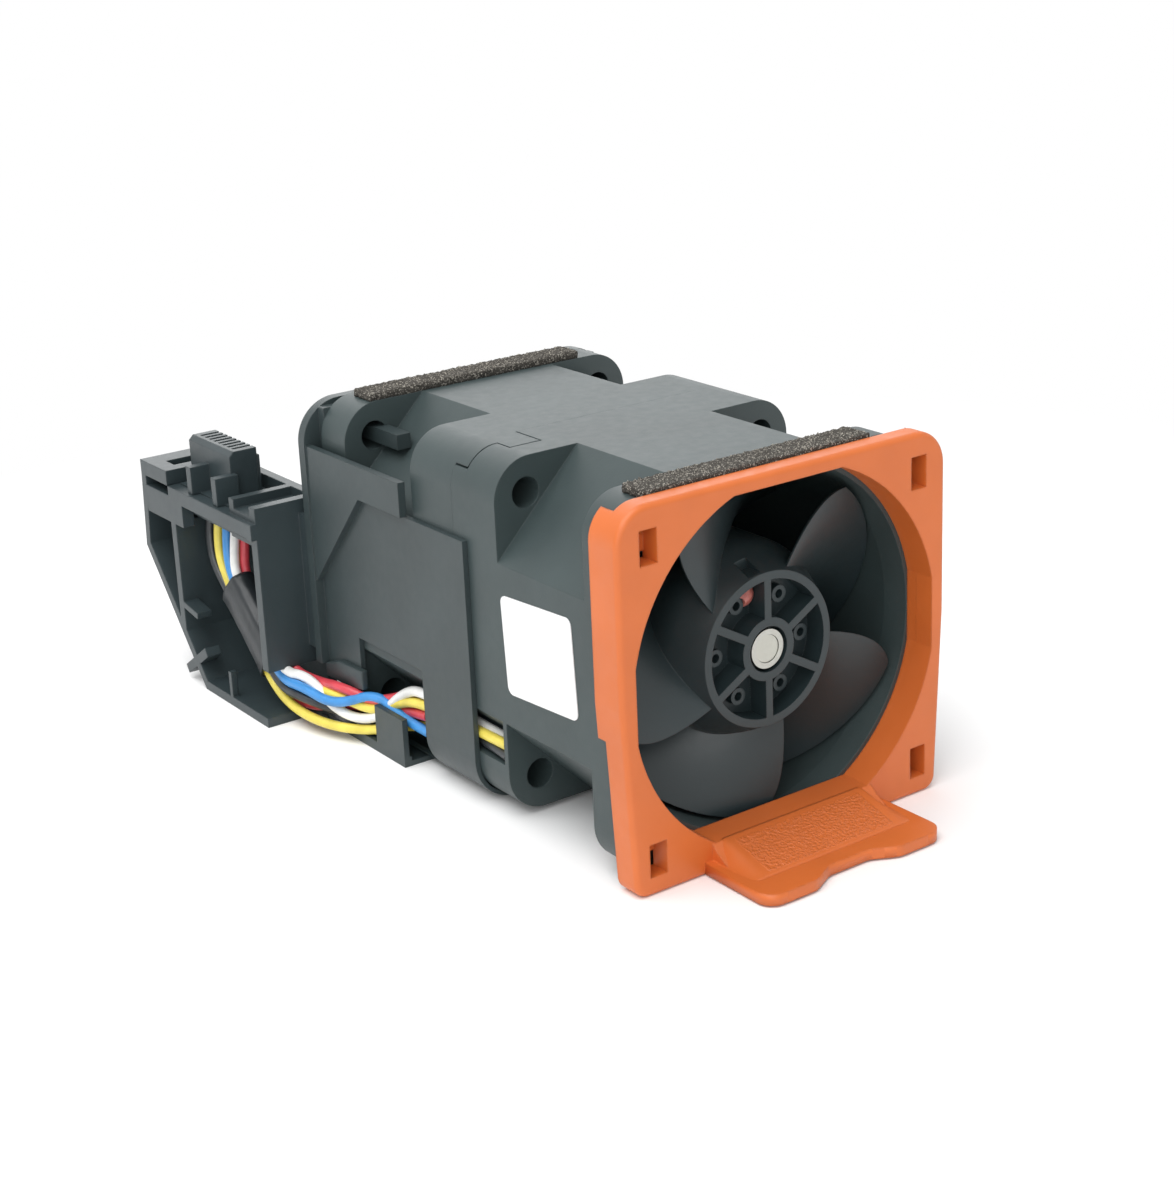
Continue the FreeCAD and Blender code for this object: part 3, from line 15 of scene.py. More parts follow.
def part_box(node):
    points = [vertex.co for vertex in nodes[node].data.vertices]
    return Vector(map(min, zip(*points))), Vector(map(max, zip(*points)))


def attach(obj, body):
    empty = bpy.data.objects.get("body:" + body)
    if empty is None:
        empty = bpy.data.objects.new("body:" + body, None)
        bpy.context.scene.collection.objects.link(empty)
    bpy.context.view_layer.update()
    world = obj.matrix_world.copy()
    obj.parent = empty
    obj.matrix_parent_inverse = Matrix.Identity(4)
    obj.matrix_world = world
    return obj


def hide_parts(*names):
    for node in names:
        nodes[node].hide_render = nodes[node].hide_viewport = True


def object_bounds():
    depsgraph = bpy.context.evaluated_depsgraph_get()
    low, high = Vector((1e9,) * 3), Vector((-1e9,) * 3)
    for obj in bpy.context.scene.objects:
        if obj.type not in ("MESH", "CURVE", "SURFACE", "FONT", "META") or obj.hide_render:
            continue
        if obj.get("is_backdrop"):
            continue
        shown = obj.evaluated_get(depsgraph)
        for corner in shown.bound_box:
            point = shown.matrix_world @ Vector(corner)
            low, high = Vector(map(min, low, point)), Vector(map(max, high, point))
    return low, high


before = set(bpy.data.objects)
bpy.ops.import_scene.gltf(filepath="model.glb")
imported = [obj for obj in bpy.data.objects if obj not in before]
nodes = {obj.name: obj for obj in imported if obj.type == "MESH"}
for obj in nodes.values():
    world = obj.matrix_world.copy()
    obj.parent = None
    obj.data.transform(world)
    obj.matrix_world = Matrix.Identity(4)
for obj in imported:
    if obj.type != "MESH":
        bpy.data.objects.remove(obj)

cad_low, cad_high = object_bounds()
MM = 0.001
print("CAD box in mm", [round(v / MM, 1) for v in (*cad_low, *cad_high)])

# %% [markdown]
# ## The camera
# The photograph was taken from the front left, a little above the module. The camera's place and
# turn were worked out from the corners of the fan frames. Its sideways axis is given as well,
# because the camera was held with a slight roll. Shift moves the picture without turning the
# camera, as when a photograph has been cropped.

# %% Place the camera
camera_data = bpy.data.cameras.new("camera")
camera_data.sensor_width = 36.0
camera_data.lens = 65.911
camera_data.shift_x = -0.00126
camera_data.shift_y = -0.06469
camera = bpy.data.objects.new("camera", camera_data)
bpy.context.scene.collection.objects.link(camera)
azimuth, elevation = math.radians(-35.30), math.radians(17.70)
back = Vector((
    math.sin(azimuth) * math.cos(elevation),
    -math.cos(azimuth) * math.cos(elevation),
    math.sin(elevation),
))
right = Vector((0.80783, -0.58799, -0.04100)).normalized()
up = back.cross(right)
turn = Matrix((right, up, back)).transposed()
camera.matrix_world = Matrix.Translation((-0.13570, -0.15677, 0.10295)) @ turn.to_4x4()
bpy.context.scene.camera = camera
print("camera at", tuple(round(v, 3) for v in camera.matrix_world.translation))

# %% [markdown]
# ## Building materials from nodes
# A material is a small tree of nodes. Most finishes here are one Principled surface, with the
# colours and sizes that are the same everywhere set on its own sockets, and with noise on Object
# coordinates for what varies: mottled colour, uneven gloss and fine relief. Object coordinates
# are metres, so a noise is given the size of its blotches. These helpers keep each finish short.

# %% Helpers for materials


def start_material(name, colour, roughness, metallic=0.0):
    """A material with one Principled surface; its tree and surface are ready for more."""
    material = bpy.data.materials.new(name)
    material.use_nodes = True
    tree = material.node_tree
    tree.nodes.clear()
    output = tree.nodes.new("ShaderNodeOutputMaterial")
    surface = tree.nodes.new("ShaderNodeBsdfPrincipled")
    surface.inputs["Base Color"].default_value = (*colour, 1)
    surface.inputs["Roughness"].default_value = roughness
    surface.inputs["Metallic"].default_value = metallic
    tree.links.new(surface.outputs["BSDF"], output.inputs["Surface"])
    return material, tree, surface


def object_place(tree, stretch=(1, 1, 1)):
    """The place on the piece, in metres, stretched along its axes."""
    place = tree.nodes.new("ShaderNodeTexCoord")
    mapping = tree.nodes.new("ShaderNodeMapping")
    mapping.inputs["Scale"].default_value = stretch
    tree.links.new(place.outputs["Object"], mapping.inputs["Vector"])
    return mapping.outputs["Vector"]


def blotches(tree, size, detail=2.0, stretch=(1, 1, 1)):
    """Noise with blotches of about a size, as a socket from 0 to 1."""
    cloud = tree.nodes.new("ShaderNodeTexNoise")
    cloud.inputs["Scale"].default_value = 1.0 / size
    cloud.inputs["Detail"].default_value = detail
    tree.links.new(object_place(tree, stretch), cloud.inputs["Vector"])
    return cloud.outputs["Fac"]


def ranged(tree, socket, low, high, start=0.3, end=0.7):
    """A socket's values from start to end, spread from low to high."""
    spread = tree.nodes.new("ShaderNodeMapRange")
    for name, value in (("From Min", start), ("From Max", end), ("To Min", low), ("To Max", high)):
        spread.inputs[name].default_value = value
    tree.links.new(socket, spread.inputs["Value"])
    return spread.outputs["Result"]


def shaded(tree, factor, first, second):
    """A mix of two colours by a factor."""
    mixer = tree.nodes.new("ShaderNodeMix")
    mixer.data_type = "RGBA"
    for socket in mixer.inputs:
        if socket.name in "AB" and socket.type == "RGBA":
            socket.default_value = (*(first if socket.name == "A" else second), 1)
    tree.links.new(factor, mixer.inputs[0])
    return [socket for socket in mixer.outputs if socket.type == "RGBA"][0]


def relief(tree, surface, height, depth, under=None):
    """Fine relief of a depth, laid over other relief."""
    bump = tree.nodes.new("ShaderNodeBump")
    bump.inputs["Distance"].default_value = depth
    tree.links.new(height, bump.inputs["Height"])
    if under is not None:
        tree.links.new(under, bump.inputs["Normal"])
    tree.links.new(bump.outputs["Normal"], surface.inputs["Normal"])
    return bump.outputs["Normal"]


def soft_edges(tree, radius):
    """A normal that rounds the sharp edges of a moulding by a small radius."""
    rounding = tree.nodes.new("ShaderNodeBevel")
    rounding.samples = 3
    rounding.inputs["Radius"].default_value = radius
    return rounding.outputs["Normal"]


def dress(material, *names):
    """Give CAD nodes their finish."""
    for name in names:
        mesh = nodes[name].data
        mesh.materials.clear()
        mesh.materials.append(material)


print("material helpers ready")

# %% [markdown]
# ## Adding a piece
# Every piece made here ends the same way. Its shape is written to a plain mesh, it gets a
# material, it rides on the module, and it may stand in for a CAD node. One helper does all of
# that.

# %% Helper for pieces


def add_piece(shape, name, material, replaced=None):
    """Make a finished shape into a piece of the module."""
    mesh = bpy.data.meshes.new(name)
    shape.to_mesh(mesh)
    shape.free()
    mesh.materials.append(material)
    piece = bpy.data.objects.new(name, mesh)
    bpy.context.scene.collection.objects.link(piece)
    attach(piece, "module")
    if replaced is not None:
        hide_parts(replaced)
    print(name, "has", len(mesh.polygons), "faces")
    return piece


def eased(part_way):
    """A part of the way from 0 to 1, with a soft start and a soft stop."""
    return part_way * part_way * (3 - 2 * part_way)


print("piece helper ready")

# %% [markdown]
# ## The studio
# The module stands on a seamless white table under soft light. The lamps are large and the world
# is even, so that black plastic shows broad, soft reflections. Near the module the table is real
# white paper that takes its shadow. Further off it fades to the plain white of the background,
# and the camera and mirror reflections see the world as plain white too.

# %% Build the table
table_mesh = bpy.data.meshes.new("table")
table_reach = 4.0
table_mesh.from_pydata(
    [(-table_reach, -table_reach, 0), (table_reach, -table_reach, 0),
     (table_reach, table_reach, 0), (-table_reach, table_reach, 0)],
    [], [(0, 1, 2, 3)],
)
table = bpy.data.objects.new("table", table_mesh)
bpy.context.scene.collection.objects.link(table)
table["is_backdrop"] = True
paper, tree, surface = start_material("white_paper", (0.95, 0.95, 0.95), 0.9)
paper_edge = tree.nodes.new("ShaderNodeEmission")
distance = tree.nodes.new("ShaderNodeVectorMath")
distance.operation = "DISTANCE"
distance.inputs[1].default_value = (0.0, 0.035, 0.0)
tree.links.new(object_place(tree), distance.inputs[0])
fade = ranged(tree, distance.outputs["Value"], 0.0, 1.0, 0.085, 0.16)
seen = tree.nodes.new("ShaderNodeLightPath")
fade_for_camera = tree.nodes.new("ShaderNodeMath")
fade_for_camera.operation = "MULTIPLY"
tree.links.new(fade, fade_for_camera.inputs[0])
tree.links.new(seen.outputs["Is Camera Ray"], fade_for_camera.inputs[1])
both = tree.nodes.new("ShaderNodeMixShader")
tree.links.new(fade_for_camera.outputs["Value"], both.inputs[0])
tree.links.new(surface.outputs["BSDF"], both.inputs[1])
tree.links.new(paper_edge.outputs["Emission"], both.inputs[2])
tree.links.new(both.outputs["Shader"], tree.nodes["Material Output"].inputs["Surface"])
table_mesh.materials.append(paper)
print("table of", table_reach * 2, "m")

# %% Hang the lamps and light the world


def area_lamp(name, offset, size, power):
    """A square soft lamp that faces the module."""
    data = bpy.data.lights.new(name, "AREA")
    data.shape = "SQUARE"
    data.size = size
    data.energy = power
    lamp = bpy.data.objects.new(name, data)
    bpy.context.scene.collection.objects.link(lamp)
    middle = (cad_low + cad_high) / 2
    lamp.location = middle + Vector(offset)
    lamp.rotation_euler = (-Vector(offset)).to_track_quat("-Z", "Y").to_euler()
    print(name, "at", tuple(round(v, 2) for v in lamp.location), "with", power, "W")
    return lamp


area_lamp("top_lamp", (-0.34, -0.05, 0.96), 0.9, 10.5)
area_lamp("back_lamp", (0.35, 0.85, 0.35), 0.8, 2.4)
area_lamp("front_lamp", (-0.62, -0.80, 0.48), 0.8, 4.2)

world = bpy.data.worlds.new("studio")
bpy.context.scene.world = world
world.use_nodes = True
tree = world.node_tree
tree.nodes.clear()
sky_output = tree.nodes.new("ShaderNodeOutputWorld")
skies = []
for strength in (0.40, 1.0):
    sky = tree.nodes.new("ShaderNodeBackground")
    sky.inputs["Color"].default_value = (1, 1, 1, 1)
    sky.inputs["Strength"].default_value = strength
    skies.append(sky)
seen = tree.nodes.new("ShaderNodeLightPath")
plainly = tree.nodes.new("ShaderNodeMath")
plainly.operation = "MAXIMUM"
tree.links.new(seen.outputs["Is Camera Ray"], plainly.inputs[0])
tree.links.new(seen.outputs["Is Glossy Ray"], plainly.inputs[1])
either = tree.nodes.new("ShaderNodeMixShader")
tree.links.new(plainly.outputs["Value"], either.inputs[0])
tree.links.new(skies[0].outputs["Background"], either.inputs[1])
tree.links.new(skies[1].outputs["Background"], either.inputs[2])
tree.links.new(either.outputs["Shader"], sky_output.inputs["Surface"])
bpy.context.scene.view_settings.view_transform = "Standard"

# %% [markdown]
# ## Black moulded plastic
# The fan frames, carrier, guard and plug are injection moulded in black glass-filled plastic. It
# isn't truly black: its skin has a fine, even grain that scatters light, so lit faces look dark
# grey. The grain is a tiny relief, a broader noise changes the gloss where the melt flowed
# differently, and every sharp edge gets a small soft rounding, as a real mould gives it.

# %% Make the black plastics


def moulded(name, colour, roughness, grain, grain_depth, edge=0.00016):
    """Moulded plastic with grain, uneven gloss and softened edges."""
    material, tree, surface = start_material(name, colour, roughness)
    darker = tuple(part * 0.9 for part in colour)
    lighter = tuple(part * 1.1 + 0.001 for part in colour)
    flow = ranged(tree, blotches(tree, 0.009, 3.0), 0.0, 1.0)
    tree.links.new(shaded(tree, flow, darker, lighter), surface.inputs["Base Color"])
    gloss = ranged(tree, blotches(tree, 0.0012, 4.0), roughness - 0.02, roughness + 0.03)
    tree.links.new(gloss, surface.inputs["Roughness"])
    relief(tree, surface, blotches(tree, grain, 3.0), grain_depth, soft_edges(tree, edge))
    return material


frame_plastic = moulded(
    "black_frame_plastic", (0.037, 0.054, 0.055), 0.46, 0.00022, 0.000012,
)
carrier_plastic = moulded(
    "black_carrier_plastic", (0.031, 0.045, 0.047), 0.42, 0.00018, 0.000010,
)
guard_plastic = moulded(
    "black_guard_plastic", (0.028, 0.041, 0.045), 0.40, 0.00018, 0.000010, 0.00022,
)
blade_plastic = moulded(
    "black_blade_plastic", (0.017, 0.028, 0.031), 0.38, 0.00030, 0.000008, 0.00012,
)
dress(frame_plastic, "front_fan_frame", "rear_fan_frame")
dress(carrier_plastic, "fan_carrier")
dress(guard_plastic, "connector_guard", "connector_plug")
dress(blade_plastic, "front_impeller", "rear_impeller")
print("black plastics ready for frames, carrier, guard, plug and blades")

# %% [markdown]
# ## The orange bezel
# The bezel is orange so that a technician sees what may be pulled. Its skin is smoother than the
# black parts. The tab's top has a stippled patch for the thumb: a fine, sharp relief that only
# shows inside a box on the tab, found from the Object coordinates.

# %% Make the orange plastic
orange, tree, surface = start_material("orange_plastic", (0.63, 0.146, 0.029), 0.42)
flow = ranged(tree, blotches(tree, 0.008, 3.0), 0.0, 1.0)
tree.links.new(
    shaded(tree, flow, (0.60, 0.138, 0.027), (0.66, 0.155, 0.032)), surface.inputs["Base Color"],
)
tree.links.new(ranged(tree, blotches(tree, 0.0015, 4.0), 0.37, 0.48), surface.inputs["Roughness"])
place = tree.nodes.new("ShaderNodeSeparateXYZ")
tree.links.new(object_place(tree), place.inputs[0])
inside = None
PATCH_BOX = (("X", -0.0086, 0.0086), ("Y", -0.0061, -0.0004), ("Z", 0.0012, 0.0033))
PATCH_EDGE = 0.0002
for axis_name, low, high in PATCH_BOX:
    for start, end in ((low, low + PATCH_EDGE), (high, high - PATCH_EDGE)):
        step = ranged(tree, place.outputs[axis_name], 0.0, 1.0, start, end)
        if inside is None:
            inside = step
            continue
        together = tree.nodes.new("ShaderNodeMath")
        together.operation = "MULTIPLY"
        tree.links.new(inside, together.inputs[0])
        tree.links.new(step, together.inputs[1])
        inside = together.outputs["Value"]
stipple = ranged(tree, blotches(tree, 0.00033, 2.0), 0.0, 1.0, 0.4, 0.6)
patch = tree.nodes.new("ShaderNodeMath")
patch.operation = "MULTIPLY"
tree.links.new(stipple, patch.inputs[0])
tree.links.new(inside, patch.inputs[1])
under = relief(tree, surface, blotches(tree, 0.0004, 3.0), 0.000006, soft_edges(tree, 0.0003))
relief(tree, surface, patch.outputs["Value"], 0.00007, under)
dress(orange, "front_bezel")
print("orange bezel dressed")

# %% [markdown]
# ## Label, shaft, bush and contacts
# The label place is left blank: satin film, very slightly wavy. The shaft's end is ground steel
# with fine rings from the lathe, and the bush round it is plated. The rings are a Wave texture of
# the kind Rings about Y, with its centre moved onto the fan's axis by a Mapping node.

# %% Make the label and the metals
film, tree, surface = start_material("blank_label_film", (0.86, 0.86, 0.86), 0.38)
tint = ranged(tree, blotches(tree, 0.002, 4.0), 0.0, 1.0)
tree.links.new(
    shaded(tree, tint, (0.84, 0.845, 0.85), (0.88, 0.88, 0.875)), surface.inputs["Base Color"],
)
ripple = relief(tree, surface, blotches(tree, 0.003, 2.0), 0.00003)
relief(tree, surface, blotches(tree, 0.0001, 2.0), 0.000003, ripple)
dress(film, "blank_label")

fan_axis = sum(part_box("front_shaft")[i][2] for i in (0, 1)) / 2


def turned_metal(name, colour, roughness, depth=0.000004):
    """Metal with fine turning rings about the fan's axis."""
    material, tree, surface = start_material(name, colour, roughness, 1.0)
    place = tree.nodes.new("ShaderNodeTexCoord")
    centred = tree.nodes.new("ShaderNodeMapping")
    centred.inputs["Location"].default_value = (0.0, 0.0, -fan_axis)
    tree.links.new(place.outputs["Object"], centred.inputs["Vector"])
    rings = tree.nodes.new("ShaderNodeTexWave")
    rings.wave_type = "RINGS"
    rings.rings_direction = "Y"
    rings.inputs["Scale"].default_value = 3000.0
    rings.inputs["Distortion"].default_value = 0.4
    tree.links.new(centred.outputs["Vector"], rings.inputs["Vector"])
    relief(tree, surface, rings.outputs["Fac"], depth)
    wear = ranged(tree, blotches(tree, 0.0004, 4.0), roughness - 0.06, roughness + 0.1)
    tree.links.new(wear, surface.inputs["Roughness"])
    return material


ground = turned_metal("ground_steel", (0.50, 0.50, 0.45), 0.36)
plated = turned_metal("plated_steel", (0.50, 0.50, 0.46), 0.38)
brass = turned_metal("turned_brass", (0.72, 0.55, 0.27), 0.32)
laminated = turned_metal("laminated_steel", (0.38, 0.39, 0.40), 0.45)
contact_finish = turned_metal("gold_contact", (0.80, 0.62, 0.28), 0.25)
dress(contact_finish, "connector_contacts")
for side in ("front", "rear"):
    dress(ground, side + "_shaft", side + "_ball_bearings")
    dress(plated, side + "_rotor_yoke", side + "_shaft_bush", side + "_retaining_clip")
    dress(brass, side + "_bearing_tube")
    dress(laminated, side + "_stator_core")
print("fan axis at z", round(fan_axis / MM, 2), "mm")

# %% [markdown]
# ## Inside the motors
# These pieces only show when the module is taken apart, but each has its finish: dark magnet
# rubber, pale insulators, enamelled copper wire laid in close turns, and a green circuit board.

# %% Make the motor finishes
magnet = moulded("magnet_rubber", (0.05, 0.046, 0.042), 0.55, 0.0003, 0.00001)
insulator = moulded("pale_insulator", (0.70, 0.68, 0.60), 0.45, 0.0003, 0.000006)
copper, tree, surface = start_material("enamelled_copper", (0.55, 0.21, 0.07), 0.28, 0.9)
turns_and_painted_shade = tree.nodes.new("ShaderNodeTexWave")
turns_and_painted_shade.bands_direction = "Y"
turns_and_painted_shade.inputs["Scale"].default_value = 1600.0
turns_and_painted_shade.inputs["Distortion"].default_value = 0.6
tree.links.new(object_place(tree), turns_and_painted_shade.inputs["Vector"])
# The copper's colour is painted darker in the grooves between the turns and paler on their crowns,
# following the relief: painted shade and painted highlight on one even colour.
tree.links.new(
    shaded(tree, turns_and_painted_shade.outputs["Fac"], (0.34, 0.11, 0.03), (0.66, 0.27, 0.10)),
    surface.inputs["Base Color"],
)
relief(tree, surface, turns_and_painted_shade.outputs["Fac"], 0.00006)
board, tree, surface = start_material("green_board", (0.02, 0.15, 0.06), 0.35)
tracks = ranged(tree, blotches(tree, 0.0009, 0.0), 0.0, 1.0, 0.5, 0.53)
tree.links.new(
    shaded(tree, tracks, (0.012, 0.11, 0.045), (0.03, 0.20, 0.08)), surface.inputs["Base Color"],
)
relief(tree, surface, tracks, 0.00002)
for side in ("front", "rear"):
    dress(magnet, side + "_magnet_ring")
    dress(insulator, side + "_winding_insulators")
    dress(copper, side + "_stator_windings")
    dress(board, side + "_circuit_board")
print("motor pieces dressed")

# %% [markdown]
# ## The leads
# Eight leads run from the two fans through the clip, out past the flank and up to the plug. Real
# leads are stranded copper in a thin PVC coat: limp enough to lie across each other, stiff enough
# to bend only in long curves. Each is a NURBS curve with a round bevel. Its control points are the
# places where the loom is held, and at each place a lead has its own seat in the bundle.

# %% Colour the coats
LEAD_COLOURS = {
    "yellow": (0.80, 0.66, 0.10),
    "red": (0.62, 0.055, 0.075),
    "white": (0.82, 0.82, 0.80),
    "black": (0.022, 0.026, 0.029),
    "blue": (0.045, 0.26, 0.62),
}
coats = {}
for colour_name, colour in LEAD_COLOURS.items():
    coat, tree, surface = start_material(colour_name + "_lead_coat", colour, 0.36)
    surface.inputs["Coat Weight"].default_value = 0.15
    surface.inputs["Coat Roughness"].default_value = 0.3
    uneven = ranged(tree, blotches(tree, 0.002, 3.0), 0.0, 1.0)
    paler = tuple(min(1.0, part * 1.12 + 0.01) for part in colour)
    deeper = tuple(part * 0.88 for part in colour)
    tree.links.new(shaded(tree, uneven, deeper, paler), surface.inputs["Base Color"])
    tree.links.new(ranged(tree, blotches(tree, 0.0006), 0.30, 0.44), surface.inputs["Roughness"])
    relief(tree, surface, blotches(tree, 0.0005, 2.0), 0.00002)
    coats[colour_name] = coat
print("coats:", ", ".join(coats))

# %% Lay the leads
LEAD_RADIUS = 0.6
# Each station of the loom: its centre in millimetres, and its turns outward and upward in degrees
STATIONS = (
    (-18.72, 24.4, 7.25, 0, 0),
    (-18.72, 40.8, 7.25, 0, 0),
    (-18.75, 46.0, 5.60, 0, 0),
    (-19.85, 51.2, 4.30, 20, 0),
    (-22.35, 56.0, 3.90, 28, 0),
    (-24.00, 61.0, 4.10, 9, 0),
    (-24.30, 66.0, 4.60, 1, 25),
    (-24.20, 71.0, 9.00, 0, 40),
    (-24.10, 77.6, 14.30, 0, 42),
    (-23.60, 80.4, 18.40, 0, 80),
    (-23.00, 80.5, 22.60, 0, 90),
)
# Each lead's seat at each station: how far inward and how far up from the centre, in millimetres.
# The leads of the rear fan start at the second station.
SEATS = {
    "white_lead_front": (
        (0.66, 1.0), (-0.64, 2.5), (-0.64, 2.65), (-0.64, -1.2), (-0.64, -0.6), (0.4, 2.6),
        (-0.6, 1.83), (-0.6, 1.83), (-0.6, 1.83), (-0.7, 3.5), (-0.6, 3.3),
    ),
    "red_lead_front": (
        (0.66, -0.1), (0.5, 1.55), (0.64, 2.0), (-0.64, 1.2), (-0.2, 2.8), (1.75, 1.4),
        (0.62, 1.83), (0.62, 1.83), (0.62, 1.83), (0.4, 4.4), (0.6, 3.3),
    ),
    "yellow_lead_front": (
        (-0.64, 1.3), (-0.64, 0.9), (-0.64, 1.4), (-0.64, 0.0), (-0.2, 1.5), (0.64, 1.0),
        (0.62, 0.61), (0.62, 0.61), (0.62, 0.61), (0.6, 1.6), (0.6, 1.1),
    ),
    "black_lead_front": (
        (-0.6, 0.0), (0.5, 0.3), (0.8, 0.75), (0.64, 0.9), (1.0, 1.6), (0.64, -0.3),
        (0.62, -0.61), (0.62, -0.61), (0.62, -0.61), (0.6, -0.8), (0.6, -1.1),
    ),
    "blue_lead_rear": (
        (-0.64, -2.6), (-1.2, -0.6), (-0.3, 2.4), (-1.4, 0.7), (-0.64, 1.5), (-0.6, 0.61),
        (-0.6, 0.61), (-0.6, 0.61), (-0.7, 1.2), (-0.6, 1.1),
    ),
    "red_lead_rear": (
        (-0.64, -0.6), (-0.2, 0.15), (0.64, -0.4), (0.9, 0.3), (0.64, -1.6), (0.62, -1.83),
        (0.62, -1.83), (0.62, -1.83), (0.6, -2.6), (0.6, -3.3),
    ),
    "black_lead_rear": (
        (0.5, -0.95), (0.64, -0.7), (0.64, -1.65), (0.6, -1.0), (-0.64, 0.1), (-0.6, -0.61),
        (-0.6, -0.61), (-0.6, -1.83), (-0.8, -4.0), (-0.6, -3.3),
    ),
    "yellow_lead_rear": (
        (0.5, -2.2), (-0.3, -1.7), (-0.64, -2.35), (-0.9, -2.3), (-0.7, -2.2), (-0.6, -1.83),
        (-0.6, -1.83), (-0.6, -0.61), (-0.7, -1.6), (-0.6, -1.1),
    ),
}


def seat_place(station, seat):
    """A seat's place in metres."""
    across, along, height, outward, upward = station
    outward, upward = math.radians(outward), math.radians(upward)
    inward, rise = seat
    return Vector((
        across + inward * math.cos(outward),
        along + inward * math.sin(outward) - rise * math.sin(upward),
        height + rise * math.cos(upward),
    )) * MM


def smooth_line(curve_object):
    """The points of a curve's own smooth line, without its bevel."""
    plain = curve_object.copy()
    plain.data = curve_object.data.copy()
    plain.data.bevel_depth = 0.0
    bpy.context.scene.collection.objects.link(plain)
    bpy.context.view_layer.update()
    mesh = bpy.data.meshes.new_from_object(plain)
    points = [vertex.co.copy() for vertex in mesh.vertices]
    bpy.data.objects.remove(plain)
    bpy.data.meshes.remove(mesh)
    return points


for name, seats in SEATS.items():
    colour_name = name.split("_")[0]
    stations = STATIONS[-len(seats):]
    points = [seat_place(*pair) for pair in zip(stations, seats)]
    curve = bpy.data.curves.new(name + "_wire", "CURVE")
    curve.dimensions = "3D"
    curve.bevel_depth = LEAD_RADIUS * MM
    curve.bevel_resolution = 4
    curve.resolution_u = 10
    curve.use_fill_caps = True
    spline = curve.splines.new("NURBS")
    spline.points.add(len(points) - 1)
    for control, point in zip(spline.points, points):
        control.co = (*point, 1.0)
    spline.order_u = 3
    spline.use_endpoint_u = True
    curve.materials.append(coats[colour_name])
    wire = bpy.data.objects.new(name + "_wire", curve)
    bpy.context.scene.collection.objects.link(wire)
    line = smooth_line(wire)
    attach(wire, "module")
    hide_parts(name)

# %% [markdown]
# ## The shrink sleeve
# A short length of shrink tubing holds the bundle together below the plug. Shrunk tubing hugs the
# leads, so its skin bulges a little over each of them, and its ends flare. It is swept ring by
# ring between two places of the loom, with an outer and an inner wall.

# %% Sweep the sleeve
shrink = moulded("shrink_tubing", (0.015, 0.019, 0.022), 0.40, 0.0009, 0.00004)
SLEEVE_START = Vector((-24.27, 68.1, 6.5)) * MM
SLEEVE_END = Vector((-24.12, 77.2, 14.0)) * MM
SLEEVE_RINGS = 28
SLEEVE_SIDES = 72
SLEEVE_WALL = 0.3
# Half of its width and depth, how far its ends flare and how far a lead bulges it, in millimetres
SLEEVE_WIDE, SLEEVE_DEEP = 1.72, 2.95
SLEEVE_FLARE, SLEEVE_BULGE, SLEEVE_UNEVEN = 0.16, 0.04, 0.05
LEADS_INSIDE = 8
SQUARENESS = 0.72


def sleeve_ring(part_way, wall):
    """One ring of the sleeve, inside it by a wall."""
    along = (SLEEVE_END - SLEEVE_START).normalized()
    across = Vector((1, 0, 0))
    rise = across.cross(along).normalized()
    centre = SLEEVE_START.lerp(SLEEVE_END, part_way)
    flare = SLEEVE_FLARE * (abs(part_way - 0.5) * 2) ** 6
    ring = []
    for number in range(SLEEVE_SIDES):
        angle = 2 * math.pi * number / SLEEVE_SIDES
        unevenness = noise.noise(Vector((angle * 2, part_way * 5, 0)))
        bulge = SLEEVE_BULGE * math.cos(LEADS_INSIDE * angle) + SLEEVE_UNEVEN * unevenness
        wide = (SLEEVE_WIDE + flare - wall + bulge) * MM
        deep = (SLEEVE_DEEP + flare - wall + bulge) * MM
        squared = [
            math.copysign(abs(v) ** SQUARENESS, v) for v in (math.cos(angle), math.sin(angle))
        ]
        ring.append(centre + across * wide * squared[0] + rise * deep * squared[1])
    return ring


shape = bmesh.new()
walls = []
for wall in (0.0, SLEEVE_WALL):
    walls.append([
        [shape.verts.new(place) for place in sleeve_ring(step / (SLEEVE_RINGS - 1), wall)]
        for step in range(SLEEVE_RINGS)
    ])
outer, inner = walls
for number in range(SLEEVE_SIDES):
    after = (number + 1) % SLEEVE_SIDES
    for first, second in zip(outer, outer[1:]):
        shape.faces.new((first[number], first[after], second[after], second[number]))
    for first, second in zip(inner, inner[1:]):
        shape.faces.new((first[after], first[number], second[number], second[after]))
    shape.faces.new((outer[0][after], outer[0][number], inner[0][number], inner[0][after]))
    shape.faces.new((outer[-1][number], outer[-1][after], inner[-1][after], inner[-1][number]))
bmesh.ops.recalc_face_normals(shape, faces=shape.faces)
for face in shape.faces:
    face.smooth = True
add_piece(shape, "shrink_sleeve", shrink, "heat_shrink_sleeve")
print("sleeve", round((SLEEVE_END - SLEEVE_START).length / MM, 1), "mm long")

# %% [markdown]
# ## The tab's skin
# The CAD tab is a flat plate with a scooped front. Its mesh turns the corners and the scoop in
# short straight steps, so a thin skin with finer curves is laid round it. A face of the skin that
# lay exactly on a face of the CAD would flicker between the two, so the skin stops 0.03 mm short
# of the tab's front.

